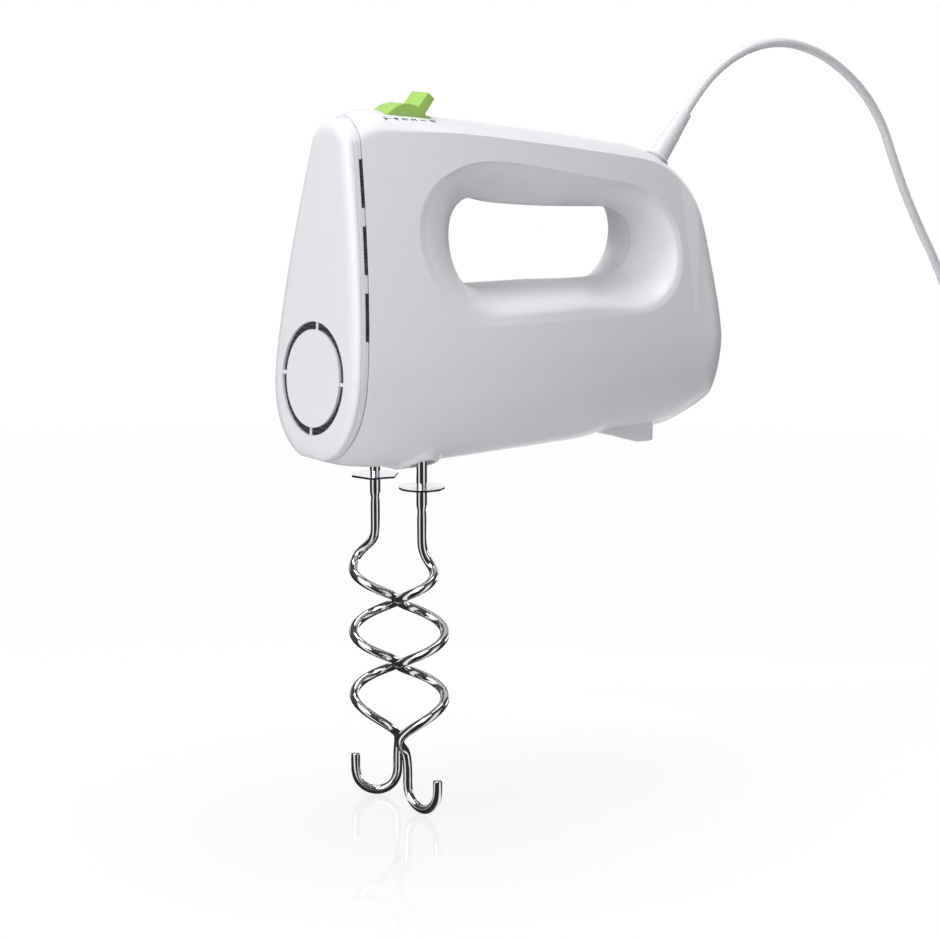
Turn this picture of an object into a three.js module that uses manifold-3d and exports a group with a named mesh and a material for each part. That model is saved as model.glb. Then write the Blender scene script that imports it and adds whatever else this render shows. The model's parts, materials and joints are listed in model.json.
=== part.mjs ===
// Hand mixer with dough hooks, millimetres, +Z up.
// X runs to the rear, where the cord leaves; the user's left side is at negative Y.
// Pieces are drawn with X = 0 on the spindles and Z = 0 at the underside. The whole group is then
// moved so that its origin is the middle of the hand grip.
import * as THREE from 'three';
import { mergeVertices } from 'three/addons/utils/BufferGeometryUtils.js';
import Module from 'manifold-3d';

const wasm = await Module();
wasm.setup();

// ---------------------------------------------------------------- driving dimensions
const spindleSpacing = 38;
const shaftHeight = 40.7;          // motor shaft above the underside
const wall = 2.2;                  // moulded walls
const seat = 0.3;                  // clearance of every fixed seat
const partingGap = 0.3;            // between the two housing halves

const gripX = 75;                  // middle of the hand grip
const gripZ = 127;

const bellyHalfWidth = spindleSpacing - 4.6;   // widest level of the housing, clear of both gears
const bellyHeight = 44;
const gripHalfWidth = 17.2;        // at gripHeight, at the front
const gripHeight = 130;
const flankPower = 1.4;            // how full the flanks are between belly and grip
const sideBulge = 6.4;             // extra half width amidships
const bulgeX = 50;
const bulgeLength = 95;
const rimTop = 6;                  // depth of the rounded rim along the top
const rimNose = 9;                 // and at the nose
const rimBottom = 34;              // and along the underside
const rimFullness = 0.44;          // 0.5 is a round corner, less is squarer
const heelRound = 0.18;            // the underside is this much rounder at the rear

const seamLean = 0.093;            // the front seam leans back with height
const seamX = -45.6;               // seam at Z = 0
const seamLow = 5;                 // lowest point of the seam
const seamHigh = 154;              // and its highest
const ventWidth = 3.4;             // vent frame between cover and housing
const faceLean = 0.033;
const faceX = -46.5;               // front face of the cover at Z = 0
const coverRound = 6.5;            // how far the cover's rounded edge reaches in

const ringOuter = 25.1;            // ring slot in the cover
const ringSlot = 3.5;
const ringBridge = 2.6;
const ventSlotWidth = 1.7;
const ventSlotLength = 21.5;
const ventSlotPitch = 29.2;
const ventSlotTop = 137.5;

const bevelWidth = 2.6;            // narrow bevel round the grip opening
const bevelDrop = 0.9;

const drumRadius = 13.4;           // speed switch
const drumX = 0.7;
const drumZ = 146.4;
const switchWidth = 13;
const tabReach = 20.5;
const tabBase = 5;
const tabTip = 4;
const tabLean = 40;                // degrees behind upright at position 0
const axleRadius = 1.5;
const switchGap = 0.6;             // beside the switch in its slot
const slotAhead = 11.4;            // the slot's ends, from the drum's axis
const slotBehind = 13.9;

const shankRadius = 2.4;           // hooks
const wireRadius = 2.1;
const shankTop = 26;
const shankCrimp = -21.4;
const collarZ = -10;
const collarThickness = 1;
const roundCollarRadius = 10.25;
const hexCollarRadius = 11.3;
const helixRadius = 10.4;
const helixPitch = 29.8;
const helixStart = -38;            // where the wire leaves the axis
const helixRun = 13;               // height over which it reaches its radius
const helixTurn = 145;             // degrees of each helix at its own level below
const leftLevel = -62;
const rightLevel = -53.4;
const hookBend = -149.5;           // centre of the end hook
const hookEndRadius = 9.8;
const hookTip = 8;                 // straight end above the bend
const earRadius = 3.4;
const earWidth = 1.3;
const earLength = 10;

const spindleRadius = 4.5;
const spindleLow = 3.8;
const spindleHigh = shaftHeight + 14.3;
const boreGap = 0.3;
const gearTeeth = 28;
const wormStarts = 2;
const wormRadius = 4;              // pitch radius
const gearFace = 9;
const toothBacklash = 0.36;
const pressureAngle = THREE.MathUtils.degToRad(20);

const shaftRadius = 2.5;
const wormLength = 19;
const fanX = -36.5;
const fanRadius = 21;
const fanDepth = 9;
const fanBlades = 9;
const bearingRadius = 6;
const bearingLength = 7;
const frontBearingX = -24.5;
const rearBearingX = 103;
const stackX = 40;                 // stator and armature stacks
const stackLength = 32;
const statorWidth = 46;
const statorHeight = 42;
const statorBore = 15;
const airGap = 0.6;
const commutatorX = 85;
const commutatorLength = 10;
const commutatorRadius = 8;

const pressStroke = 3;
const bossRadius = 8.9;            // oval boss round the spindle holes, at its face
const bossDepth = 3.7;             // lowest point of its crowned face
const bossCrown = 45.5;
const bossHole = 5.8;
const footY = 11.5;                // each half has one rest foot, this far from the middle
const footHalfWidth = 4;
const footRearX = 136;
const footZ = -2.3;

const reliefX = 146.1;             // where the strain relief meets the housing
const reliefZ = 127.8;
const reliefAngle = THREE.MathUtils.degToRad(50.8);
const reliefLength = 28;
const reliefBase = 4.9;
const reliefEnd = 3.1;

const cordRadius = 2.2;
const floorZ = -161.4;
const coilRadius = 24;
const coilHalfWidth = 4.9;
const coilHeight = 13.6;
const coilX = 390;
const plugX = 440;
const plugY = -18;

// ---------------------------------------------------------------- materials
function material(color, roughness, metalness) {
  return new THREE.MeshStandardMaterial({ color, roughness, metalness });
}
const whitePlastic = () => material(0xe9eaee, 0.38, 0);
const greenPlastic = () => material(0xa9dc63, 0.4, 0);
const greyPlastic = () => material(0x6d7076, 0.6, 0);
const naturalPlastic = () => material(0xe6e0cf, 0.55, 0);
const polishedSteel = () => material(0xc8cace, 0.12, 1);
const dullSteel = () => material(0x8d9096, 0.45, 1);
const copper = () => material(0xb8713a, 0.4, 1);
const brass = () => material(0xc2a35a, 0.35, 1);
const carbon = () => material(0x2b2b2e, 0.7, 0);
const boardGreen = () => material(0x2f6b46, 0.6, 0);

// ---------------------------------------------------------------- mesh and boolean helpers
function signedVolume(points, index) {
  let sum = 0;
  for (let i = 0; i < index.length; i += 3) {
    const a = points[index[i]];
    const b = points[index[i + 1]];
    const c = points[index[i + 2]];
    sum += a.dot(b.clone().cross(c));
  }
  return sum;
}

// A closed body from points and triangles, turned so that its faces point outwards.
function body(points, index) {
  if (signedVolume(points, index) < 0) {
    for (let i = 0; i < index.length; i += 3) {
      [index[i + 1], index[i + 2]] = [index[i + 2], index[i + 1]];
    }
  }
  const geometry = new THREE.BufferGeometry();
  geometry.setAttribute('position', new THREE.Float32BufferAttribute(points.flatMap((p) => p.toArray()), 3));
  geometry.setIndex(index);
  return solid(geometry);
}

function solid(geometry) {
  const clean = geometry.clone();
  clean.deleteAttribute('normal');
  clean.deleteAttribute('uv');
  const merged = mergeVertices(clean, 1e-4);
  const triVerts = new Uint32Array(merged.index.array);
  const vertProperties = new Float32Array(merged.attributes.position.array);
  return new wasm.Manifold(new wasm.Mesh({ numProp: 3, vertProperties, triVerts }));
}

function geometryOf(manifold) {
  const mesh = manifold.getMesh();
  const geometry = new THREE.BufferGeometry();
  geometry.setAttribute('position', new THREE.Float32BufferAttribute(mesh.vertProperties, 3));
  geometry.setIndex([...mesh.triVerts]);
  geometry.computeVertexNormals();
  return geometry;
}

function join(...solids) {
  return solids.reduce((whole, piece) => whole.add(piece));
}

// Rings of equal count joined one to the next, each four points along their shorter diagonal.
// The last ring joins the first when looped, otherwise a fan round its middle closes each end.
function skin(rings, looped) {
  const count = rings[0].length;
  const points = rings.flat();
  const index = [];
  const bands = looped ? rings.length : rings.length - 1;
  for (let j = 0; j < bands; j += 1) {
    const next = (j + 1) % rings.length;
    for (let i = 0; i < count; i += 1) {
      const k = (i + 1) % count;
      const a = j * count + i;
      const b = j * count + k;
      const c = next * count + k;
      const d = next * count + i;
      const straight = points[a].distanceTo(points[c]) <= points[b].distanceTo(points[d]);
      index.push(...(straight ? [a, b, c, a, c, d] : [a, b, d, b, c, d]));
    }
  }
  if (!looped) {
    [0, rings.length - 1].forEach((j) => {
      const middle = rings[j].reduce((sum, p) => sum.add(p), new THREE.Vector3()).divideScalar(count);
      points.push(middle);
      const m = points.length - 1;
      for (let i = 0; i < count; i += 1) {
        const a = j * count + i;
        const b = j * count + ((i + 1) % count);
        index.push(...(j === 0 ? [m, b, a] : [m, a, b]));
      }
    });
  }
  return body(points, index);
}

function box(x0, x1, y0, y1, z0, z1) {
  const geometry = new THREE.BoxGeometry(x1 - x0, y1 - y0, z1 - z0);
  geometry.translate((x0 + x1) / 2, (y0 + y1) / 2, (z0 + z1) / 2);
  return solid(geometry);
}

function cylinderZ(radius, x, y, z0, z1, sides = 20) {
  const geometry = new THREE.CylinderGeometry(radius, radius, z1 - z0, sides);
  geometry.rotateX(Math.PI / 2);
  geometry.translate(x, y, (z0 + z1) / 2);
  return solid(geometry);
}

function cylinderX(radius, x0, x1, y, z, sides = 20) {
  const geometry = new THREE.CylinderGeometry(radius, radius, x1 - x0, sides);
  geometry.rotateZ(Math.PI / 2);
  geometry.translate((x0 + x1) / 2, y, z);
  return solid(geometry);
}

function cylinderY(radius, x, y0, y1, z, sides = 20) {
  const geometry = new THREE.CylinderGeometry(radius, radius, y1 - y0, sides);
  geometry.translate(x, (y0 + y1) / 2, z);
  return solid(geometry);
}

// A profile of [radius, height] pairs revolved about Z.
function revolve(profile, sides = 20) {
  return solid(new THREE.LatheGeometry(profile.map(([r, h]) => new THREE.Vector2(r, h)), sides)
    .rotateX(Math.PI / 2));
}

function tube(radius, curve, steps, sides) {
  const shape = new THREE.Shape();
  for (let i = 0; i < sides; i += 1) {
    const angle = (2 * Math.PI * i) / sides;
    const x = radius * Math.cos(angle);
    const y = radius * Math.sin(angle);
    if (i === 0) shape.moveTo(x, y);
    else shape.lineTo(x, y);
  }
  return solid(new THREE.ExtrudeGeometry(shape, { steps, extrudePath: curve, bevelEnabled: false }));
}

function smooth(low, high, value) {
  return THREE.MathUtils.smoothstep(value, low, high);
}

function mirrored(manifold) {
  return manifold.mirror([0, 1, 0]);
}

// ---------------------------------------------------------------- housing form
// Outlines in the X-Z plane are chains of cubic curves: a knot, two handles, the next knot.
const rimOutline = [
  [seamX + seamLean * seamHigh, seamHigh], [-27, 156.6], [-21, 158.2], [-12, 157],
  [30, 151.8], [80, 144.6], [124, 136.8],
  [140, 133.8], [157, 124], [164.2, 104],
  [169, 88], [174.5, 66], [177.6, 46],
  [178.8, 34], [176, 19.8], [171, 13.3],
  [167.6, 9.6], [158, 6], [150, 3.2],
  [143, 0.9], [128, 1.5], [112, 2.3],
  [104, 2.6], [98, 1.2], [90, 0.8],
  [55, 0.2], [15, -1], [-8, -1.4],
  [-24, -1.2], [-36, 1], [seamX + seamLean * seamLow, seamLow],
];
const rimSteps = [4, 6, 7, 4, 5, 3, 3, 2, 5, 4];

const bevelOutline = [
  [-6.4, 101], [-6.4, 118], [6, 128.5], [20, 132.2],
  [30, 134.8], [38, 134.2], [52, 132],
  [75, 127.8], [98, 123], [112, 120.4],
  [131, 116.5], [141, 104], [141, 89],
  [141, 74], [130, 62.4], [112, 61.8],
  [85, 61.8], [50, 62.4], [27, 62.8],
  [8, 63.2], [-6.4, 84], [-6.4, 101],
];

const throatOutline = [
  [21.5, 95.5], [21.5, 106], [24, 113.5], [33, 115.8],
  [39, 116.9], [42, 114.4], [50, 113.2],
  [70, 110.4], [95, 108.8], [113, 108],
  [124, 107.2], [131.3, 100.5], [131.3, 92],
  [131.3, 83], [125, 76.2], [112, 75.6],
  [85, 75.4], [60, 76], [37, 76.6],
  [27, 77], [21.5, 84.5], [21.5, 95.5],
];
const gripCentre = new THREE.Vector2(76, 95);

function traced(outline, steps) {
  const points = [];
  const count = (outline.length - 1) / 3;
  for (let s = 0; s < count; s += 1) {
    const [a, b, c, d] = outline.slice(3 * s, 3 * s + 4).map(([x, z]) => new THREE.Vector2(x, z));
    const curve = new THREE.CubicBezierCurve(a, b, c, d);
    const parts = Array.isArray(steps) ? steps[s] : steps;
    for (let i = 0; i < parts; i += 1) points.push(curve.getPoint(i / parts));
  }
  const [x, z] = outline[outline.length - 1];
  points.push(new THREE.Vector2(x, z));
  return points;
}

const rimFine = traced(rimOutline, 24);

function distanceToLine(p, a, b) {
  const along = b.clone().sub(a);
  const t = THREE.MathUtils.clamp(p.clone().sub(a).dot(along) / along.lengthSq(), 0, 1);
  return p.distanceTo(a.clone().addScaledVector(along, t));
}

// How deep a point of the side view lies inside the rim outline.
function rimDepth(x, z) {
  const p = new THREE.Vector2(x, z);
  let least = Infinity;
  for (let i = 0; i + 1 < rimFine.length; i += 1) {
    least = Math.min(least, distanceToLine(p, rimFine[i], rimFine[i + 1]));
  }
  return least;
}

// Half width of the flank, before the rim rounds it off.
function flank(x, z) {
  const rise = Math.max(0, (z - bellyHeight) / (gripHeight - bellyHeight));
  const taper = (bellyHalfWidth - gripHalfWidth) * rise ** flankPower;
  const bulge = sideBulge * Math.max(0, 1 - ((x - bulgeX) / bulgeLength) ** 2);
  return bellyHalfWidth - taper + bulge;
}

// Half width of the housing at a point of the side view, inset inwards.
function halfWidth(x, z, inset = 0) {
  const crisp = smooth(30, 130, z);
  const nose = (rimNose - rimTop) * (1 - smooth(-30, 30, x));
  const reach = THREE.MathUtils.lerp(rimBottom, rimTop + nose, crisp) - inset;
  const round = 1 - crisp * (0.9 - 0.5 * (1 - smooth(-30, 30, x)));
  const q = Math.min(1, Math.max(0, rimDepth(x, z) - inset) / reach);
  const heel = heelRound * smooth(80, 150, x) * (1 - smooth(10, 60, z));
  return (flank(x, z) - inset) * (q * (1 + round * (1 - q))) ** (rimFullness + 0.06 * crisp + heel);
}

function seamAt(z, back = 0) {
  return seamX + seamLean * z + back;
}

// Where the ray from the grip's centre through p crosses a closed outline.
function crossing(outline, p) {
  const way = p.clone().sub(gripCentre).normalize();
  for (let i = 0; i + 1 < outline.length; i += 1) {
    const a = outline[i].clone().sub(gripCentre);
    const b = outline[i + 1].clone().sub(gripCentre);
    const edge = b.clone().sub(a);
    const turn = way.cross(edge);
    const reach = a.cross(edge) / turn;
    const share = a.cross(way) / turn;
    if (reach > 0 && share >= 0 && share <= 1) return gripCentre.clone().addScaledVector(way, reach);
  }
  return p.clone();
}

// The rim outline moved inwards, with its two ends kept on the front plane.
function insetRim(inset, front) {
  const line = traced(rimOutline, rimSteps);
  return line.map((p, i) => {
    const before = line[Math.max(0, i - 1)];
    const after = line[Math.min(line.length - 1, i + 1)];
    const along = after.clone().sub(before).normalize();
    const moved = p.clone().add(new THREE.Vector2(along.y, -along.x).multiplyScalar(inset));
    moved.x = Math.max(moved.x, seamAt(moved.y, front));
    return moved;
  });
}

// The side view's outer loop: the rim, then up the front plane.
function outerLoop(inset, front, frontSteps) {
  const rim = insetRim(inset, front);
  const low = rim[rim.length - 1];
  low.x = seamAt(low.y, front);
  rim[0].x = seamAt(rim[0].y, front);
  const loop = [...rim];
  for (let i = 1; i < frontSteps; i += 1) {
    const share = i / frontSteps;
    const z = THREE.MathUtils.lerp(low.y, rim[0].y, share - 0.08 * Math.sin(4 * Math.PI * share) / 2);
    loop.push(new THREE.Vector2(seamAt(z, front), z));
  }
  return loop;
}

const bevelFine = traced(bevelOutline, 16);
const throatFine = traced(throatOutline, 16);

// Rings of one half shell from the rim, over the flank and bevel, to the throat of the opening.
function flankRings(inset, front, rows, flareRows) {
  const loop = outerLoop(inset, front, 15);
  const side = (p, y) => new THREE.Vector3(p.x, Math.max(y, partingGap / 2), p.y);
  const columns = loop.map((p) => {
    const lip = crossing(bevelFine, p);
    const throat = crossing(throatFine, p);
    const outwards = lip.clone().sub(gripCentre).normalize();
    lip.addScaledVector(outwards, inset);
    throat.addScaledVector(outwards, inset);
    const column = [];
    const crowd = 2 - Math.min(1, rimDepth(p.x, p.y) / 25);
    for (let j = 0; j <= rows; j += 1) {
      const point = p.clone().lerp(lip, (j / rows) ** crowd);
      column.push(side(point, halfWidth(point.x, point.y, inset)));
    }
    const run = throat.clone().sub(lip);
    const edge = lip.clone().addScaledVector(run, Math.min(0.4, bevelWidth / run.length()));
    const deep = halfWidth(lip.x, lip.y, inset) - bevelDrop;
    const fullness = 2 - 0.7 * smooth(0.2, 0.9, outwards.x);
    for (let j = 0; j <= flareRows; j += 1) {
      const turn = (Math.PI / 2) * (j / flareRows);
      const point = edge.clone().lerp(throat, Math.sin(turn) ** (2 / fullness));
      column.push(side(point, deep * Math.max(0, Math.cos(turn)) ** (2 / fullness)));
    }
    return column;
  });
  return columns[0].map((unused, j) => columns.map((column) => column[j]));
}

function halfShell() {
  const front = ventWidth + 2 * seat;
  const outer = flankRings(0, front, 8, 5);
  const inner = flankRings(wall, front, 4, 2);
  return skin([...outer, ...inner.reverse()], true);
}

// ---------------------------------------------------------------- housing details
function stadium(radius, halfLength, z) {
  return Array.from({ length: 28 }, (unused, i) => {
    const angle = (2 * Math.PI * (i + 0.5)) / 28;
    const y = radius * Math.sin(angle) + Math.sign(Math.sin(angle)) * halfLength;
    return new THREE.Vector3(radius * Math.cos(angle), y, z);
  });
}

// Oval boss round both spindle holes, drafted; its underside is crowned across the mixer.
function spindleBoss() {
  const crown = cylinderX(bossCrown, -20, 20, 0, bossCrown - bossDepth, 96);
  const face = stadium(bossRadius, spindleSpacing / 2, -bossDepth - 1);
  const root = stadium(bossRadius + 2.4, spindleSpacing / 2, 11);
  return skin([face, root], false).intersect(crown);
}

// Wedge under the rear that the mixer rests on, round at its rear end.
function restFoot() {
  const rear = footRearX;
  const shape = new THREE.Shape();
  shape.moveTo(rear - 39, footZ + 9.8);
  shape.lineTo(rear - 11.4, footZ + 0.8);
  shape.quadraticCurveTo(rear - 9, footZ, rear - 7, footZ);
  shape.lineTo(rear - 1, footZ);
  shape.quadraticCurveTo(rear, footZ, rear, footZ + 1);
  shape.lineTo(rear, footZ + 9.8);
  const depth = 2 * footHalfWidth;
  const side = new THREE.ExtrudeGeometry(shape, { depth, bevelEnabled: false, curveSegments: 4 });
  side.rotateX(Math.PI / 2);
  side.translate(0, footY + footHalfWidth, 0);
  const plan = join(
    cylinderZ(footHalfWidth, rear - footHalfWidth, footY, footZ - 1, footZ + 12, 24),
    box(rear - 45, rear - footHalfWidth, footY - footHalfWidth, footY + footHalfWidth, footZ - 1, footZ + 12),
  );
  return solid(side).intersect(plan);
}

// Rib on the roof of the opening that carries the board.
function boardRib(x) {
  const roof = crossing(throatFine, new THREE.Vector2(x, boardZ));
  return box(roof.x - 1, roof.x + 1, 4, 9, roof.y + wall / 2, boardZ - seat);
}

function blockShelf() {
  const z = blockZ - seat;
  return box(blockX - 1, blockX + 1, 4, halfWidth(blockX, z) - wall / 2, z - 3, z);
}

const boardZ = 121;
const boardX0 = 40;
const boardX1 = 92;
const blockX = 144;
const blockZ = 96;
const frameTubeRadius = 7;
const tubeLow = 7;                 // lower end of the frame's spindle tubes

function housingHalf() {
  const keepOut = frameTubeRadius + seat;
  const y = spindleSpacing / 2;
  const half = box(-60, 200, partingGap / 2, 60, -20, 200);
  const extras = join(spindleBoss().intersect(half), restFoot());
  const inside = join(
    box(-8, 8, -1, y, wall, 30),
    cylinderZ(keepOut, 0, y, tubeLow - 2 * seat, 30, 32),
    cylinderZ(bossHole, 0, y, -6, 30, 32),
  );
  const shelves = join(boardRib(boardX0 + 5), boardRib(boardX1 - 5), blockShelf());
  return join(halfShell(), extras, shelves)
    .subtract(inside)
    .subtract(switchSlot())
    .subtract(reliefHole());
}

function switchSlot() {
  const halfSlot = switchWidth / 2 + switchGap;
  return box(drumX - slotAhead, drumX + slotBehind, -halfSlot, halfSlot, drumZ, drumZ + 20);
}

// ---------------------------------------------------------------- front cover and vent frame
// The outline of the front seam, as a ring in the seam plane, moved in by inset.
function seamRing(inset, back, count = 14) {
  const right = [];
  for (let i = 0; i <= count; i += 1) {
    const z = THREE.MathUtils.lerp(seamLow, seamHigh, (1 - Math.cos((Math.PI * i) / count)) / 2);
    right.push(new THREE.Vector2(i === 0 || i === count ? 0 : halfWidth(seamAt(z, 2), z), z));
  }
  const left = right.slice(1, -1).reverse().map((p) => new THREE.Vector2(-p.x, p.y));
  const ring = [...right, ...left];
  return ring.map((p, i) => {
    const before = ring[(i + ring.length - 1) % ring.length];
    const after = ring[(i + 1) % ring.length];
    const along = after.clone().sub(before).normalize();
    const moved = p.clone().add(new THREE.Vector2(-along.y, along.x).multiplyScalar(inset));
    return new THREE.Vector3(seamAt(moved.y, back), moved.x, moved.y);
  });
}

function coverRings(inset, back, rows) {
  const rings = [seamRing(inset, back)];
  for (let j = 1; j <= rows; j += 1) {
    const turn = (Math.PI / 2) * (j / rows);
    const ring = seamRing(inset + (coverRound - inset / 2) * (1 - Math.cos(turn)), back);
    rings.push(ring.map((p) => {
      const face = faceX + faceLean * p.z + inset;
      const x = THREE.MathUtils.lerp(p.x, Math.min(face, p.x - 0.5), Math.sin(turn));
      return new THREE.Vector3(x, p.y, p.z);
    }));
  }
  return rings;
}

function frontCover() {
  const outer = skin(coverRings(0, -seat / 2, 5), false);
  const hollow = skin([seamRing(wall, 3), ...coverRings(wall, -seat / 2, 3)], false);
  const slot = cylinderX(ringOuter, -60, -30, 0, shaftHeight, 48)
    .subtract(cylinderX(ringOuter - ringSlot, -61, -29, 0, shaftHeight, 48))
    .subtract(box(-61, -29, -ringBridge / 2, ringBridge / 2, 0, 100))
    .subtract(box(-61, -29, -40, 40, shaftHeight - ringBridge / 2, shaftHeight + ringBridge / 2));
  return outer.subtract(hollow).subtract(slot);
}

function ventFrame() {
  const flange = skin([seamRing(0, seat / 2), seamRing(0, ventWidth + seat / 2)], false);
  const spigotInset = wall + 4 * seat;
  const spigot = skin([seamRing(spigotInset, 0.2 + seat), seamRing(spigotInset, 8)], false);
  const opening = skin([seamRing(spigotInset + 2, -2), seamRing(spigotInset + 2, 12)], false);
  const slots = [0, 1, 2].map((i) => {
    const top = ventSlotTop - i * ventSlotPitch;
    const slab = box(0, ventSlotWidth + 5, -60, 60, -ventSlotLength / 2, ventSlotLength / 2);
    const middle = top - ventSlotLength / 2;
    return slab
      .rotate([0, THREE.MathUtils.radToDeg(Math.atan(seamLean)), 0])
      .translate([seamAt(middle, ventWidth + seat / 2 - ventSlotWidth), 0, middle]);
  });
  const filterSeat = cylinderX(filterRadius + seat, -60, -20, 0, shaftHeight, 40);
  const frame = join(flange, spigot).subtract(opening).subtract(filterSeat);
  return slots.reduce((whole, slot) => whole.subtract(slot), frame);
}

const filterRadius = ringOuter + 1.5;

// Filter ring that closes the ring slot from behind.
function slotFilter() {
  const middle = faceX + faceLean * shaftHeight + wall + seat;
  const outer = cylinderX(filterRadius, middle + 0.6, middle + 2.2, 0, shaftHeight, 40);
  return outer.subtract(cylinderX(ringOuter - ringSlot - 1.5, middle, middle + 4, 0, shaftHeight, 40));
}

// ---------------------------------------------------------------- speed switch and eject linkage
function speedSwitch() {
  const half = switchWidth / 2;
  const shape = new THREE.Shape();
  const lean = THREE.MathUtils.degToRad(90 - tabLean);
  const rootTurn = Math.asin(tabBase / 2 / drumRadius);
  const tipTurn = Math.asin(tabTip / 2 / tabReach);
  const at = (radius, angle) => [drumX + radius * Math.cos(angle), drumZ + radius * Math.sin(angle)];
  shape.moveTo(...at(drumRadius, lean + rootTurn));
  shape.absarc(drumX, drumZ, drumRadius, lean + rootTurn, lean - rootTurn + 2 * Math.PI, false);
  shape.lineTo(...at(tabReach, lean - tipTurn));
  shape.lineTo(...at(tabReach, lean + tipTurn));
  const drawn = { depth: 2 * half, bevelEnabled: false, curveSegments: 40 };
  const geometry = new THREE.ExtrudeGeometry(shape, drawn);
  geometry.rotateX(Math.PI / 2);
  geometry.translate(0, half, 0);
  return solid(geometry).subtract(cylinderY(axleRadius + seat, drumX, -half - 1, half + 1, drumZ, 20));
}

const cheekInner = switchWidth / 2 + switchGap;
const cheekOuter = cheekInner + 2;
const rodHalf = 2.5;
const crossbarZ = spindleHigh + 5;

function switchAxle() {
  return cylinderY(axleRadius, drumX, -cheekOuter, cheekOuter, drumZ, 20);
}

function ejectSlider() {
  const floor = drumZ - drumRadius - 2;
  const y = spindleSpacing / 2;
  const cheek = join(
    box(drumX - 4, drumX + 4, cheekInner, cheekOuter, floor - 3, drumZ),
    cylinderY(4, drumX, cheekInner, cheekOuter, drumZ, 20),
  ).subtract(cylinderY(axleRadius + seat / 2, drumX, 0, 20, drumZ, 20));
  const plungerLow = shankTop + pressStroke + 0.6;
  const plungers = [-y, y].map((side) => (
    cylinderZ(shankRadius - 0.3, 0, side, plungerLow, crossbarZ + 1, 16)
  ));
  return join(
    cheek,
    mirrored(cheek),
    box(drumX - 4, drumX + 4, -cheekOuter, cheekOuter, floor - 3, floor),
    box(-rodHalf, rodHalf, -rodHalf, rodHalf, crossbarZ + 2, floor - 1),
    box(-3, 3, -y - 3, y + 3, crossbarZ, crossbarZ + 4),
    ...plungers,
  );
}

// ---------------------------------------------------------------- worm drive
const gearPitchRadius = spindleSpacing / 2 - wormRadius;
const module = (2 * gearPitchRadius) / gearTeeth;
const axialPitch = Math.PI * module;
const lead = axialPitch * wormStarts;
const addendum = module;
const dedendum = 1.3 * module;

function involute(angle) {
  return Math.tan(angle) - angle;
}

// Half the angle that a gear tooth takes up at a radius.
function toothHalfAngle(radius) {
  const base = gearPitchRadius * Math.cos(pressureAngle);
  const local = Math.acos(Math.min(1, base / radius));
  const atPitch = (axialPitch / 2 - toothBacklash) / 2 / gearPitchRadius;
  return atPitch + involute(pressureAngle) - involute(local);
}

// Helical gear whose teeth follow the worm's thread; gap is the angle of a tooth space.
function helicalGear(gap) {
  const radii = [gearPitchRadius - dedendum, gearPitchRadius, gearPitchRadius + addendum];
  const twist = lead / (2 * Math.PI * wormRadius) / gearPitchRadius;
  const layers = [-gearFace / 2, gearFace / 2];
  const rings = layers.map((h) => {
    const ring = [];
    for (let t = 0; t < gearTeeth; t += 1) {
      const centre = gap + ((t + 0.5) * 2 * Math.PI) / gearTeeth + twist * h;
      const flankPoints = radii.map((r) => [r, toothHalfAngle(r)]);
      const rising = flankPoints.map(([r, a]) => [r, centre - a]);
      const falling = flankPoints.reverse().map(([r, a]) => [r, centre + a]);
      [...rising, ...falling].forEach(([r, a]) => {
        ring.push(new THREE.Vector3(r * Math.cos(a), r * Math.sin(a), shaftHeight + h));
      });
    }
    return ring;
  });
  return skin(rings, false);
}

// Gear, hub and hollow spindle in one moulding; two slots in the bore take the shank's ears.
function driveSpindle(side) {
  const y = (side * spindleSpacing) / 2;
  const bore = shankRadius + boreGap;
  const slotReach = earRadius + seat;
  const slotHalf = earWidth / 2 + seat;
  const gear = helicalGear(side > 0 ? -Math.PI / 2 : Math.PI / 2)
    .subtract(revolve([
      [9, shaftHeight + 2], [12.4, shaftHeight + 2], [12.4, shaftHeight + 9],
      [9, shaftHeight + 9], [9, shaftHeight + 2],
    ]));
  const hubLow = shaftHeight - gearFace / 2 - 2;
  const hubHigh = shaftHeight + gearFace / 2 + 1;
  const tube = cylinderZ(spindleRadius, 0, 0, spindleLow, spindleHigh);
  return join(gear, tube, cylinderZ(7, 0, 0, hubLow, hubHigh))
    .subtract(cylinderZ(bore, 0, 0, spindleLow - 1, spindleHigh + 1))
    .subtract(box(-slotReach, slotReach, -slotHalf, slotHalf, spindleLow - 1, shankTop + 1))
    .translate([0, y, 0]);
}

// One thread of the worm: a trapezium carried along a helix about the shaft.
function wormThread(start) {
  const tip = wormRadius + addendum;
  const root = wormRadius - dedendum - 0.4;
  const slope = Math.tan(pressureAngle);
  const halfAtPitch = (axialPitch / 2 - toothBacklash) / 2;
  const halfTip = halfAtPitch - addendum * slope;
  const halfRoot = halfAtPitch + (wormRadius - root) * slope;
  const section = [[-halfRoot, root], [-halfTip, tip], [halfTip, tip], [halfRoot, root]];
  const turns = wormLength / lead + 1.6;
  const steps = Math.round(14 * turns);
  const rings = [];
  for (let i = 0; i <= steps; i += 1) {
    const angle = 2 * Math.PI * turns * (i / steps - 0.5);
    rings.push(section.map(([dx, r]) => new THREE.Vector3(
      dx + start * axialPitch + (lead * angle) / (2 * Math.PI),
      r * Math.cos(angle),
      shaftHeight + r * Math.sin(angle),
    )));
  }
  return skin(rings, false);
}

function motorShaft() {
  const core = cylinderX(wormRadius - dedendum, -wormLength / 2, wormLength / 2, 0, shaftHeight);
  const threads = Array.from({ length: wormStarts }, (unused, i) => wormThread(i));
  const trim = cylinderX(wormRadius + addendum + 1, -wormLength / 2, wormLength / 2, 0, shaftHeight);
  const worm = join(core, ...threads).intersect(trim);
  return join(worm, cylinderX(shaftRadius, fanX + 1, rearBearingX + bearingLength + 2, 0, shaftHeight));
}

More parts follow.
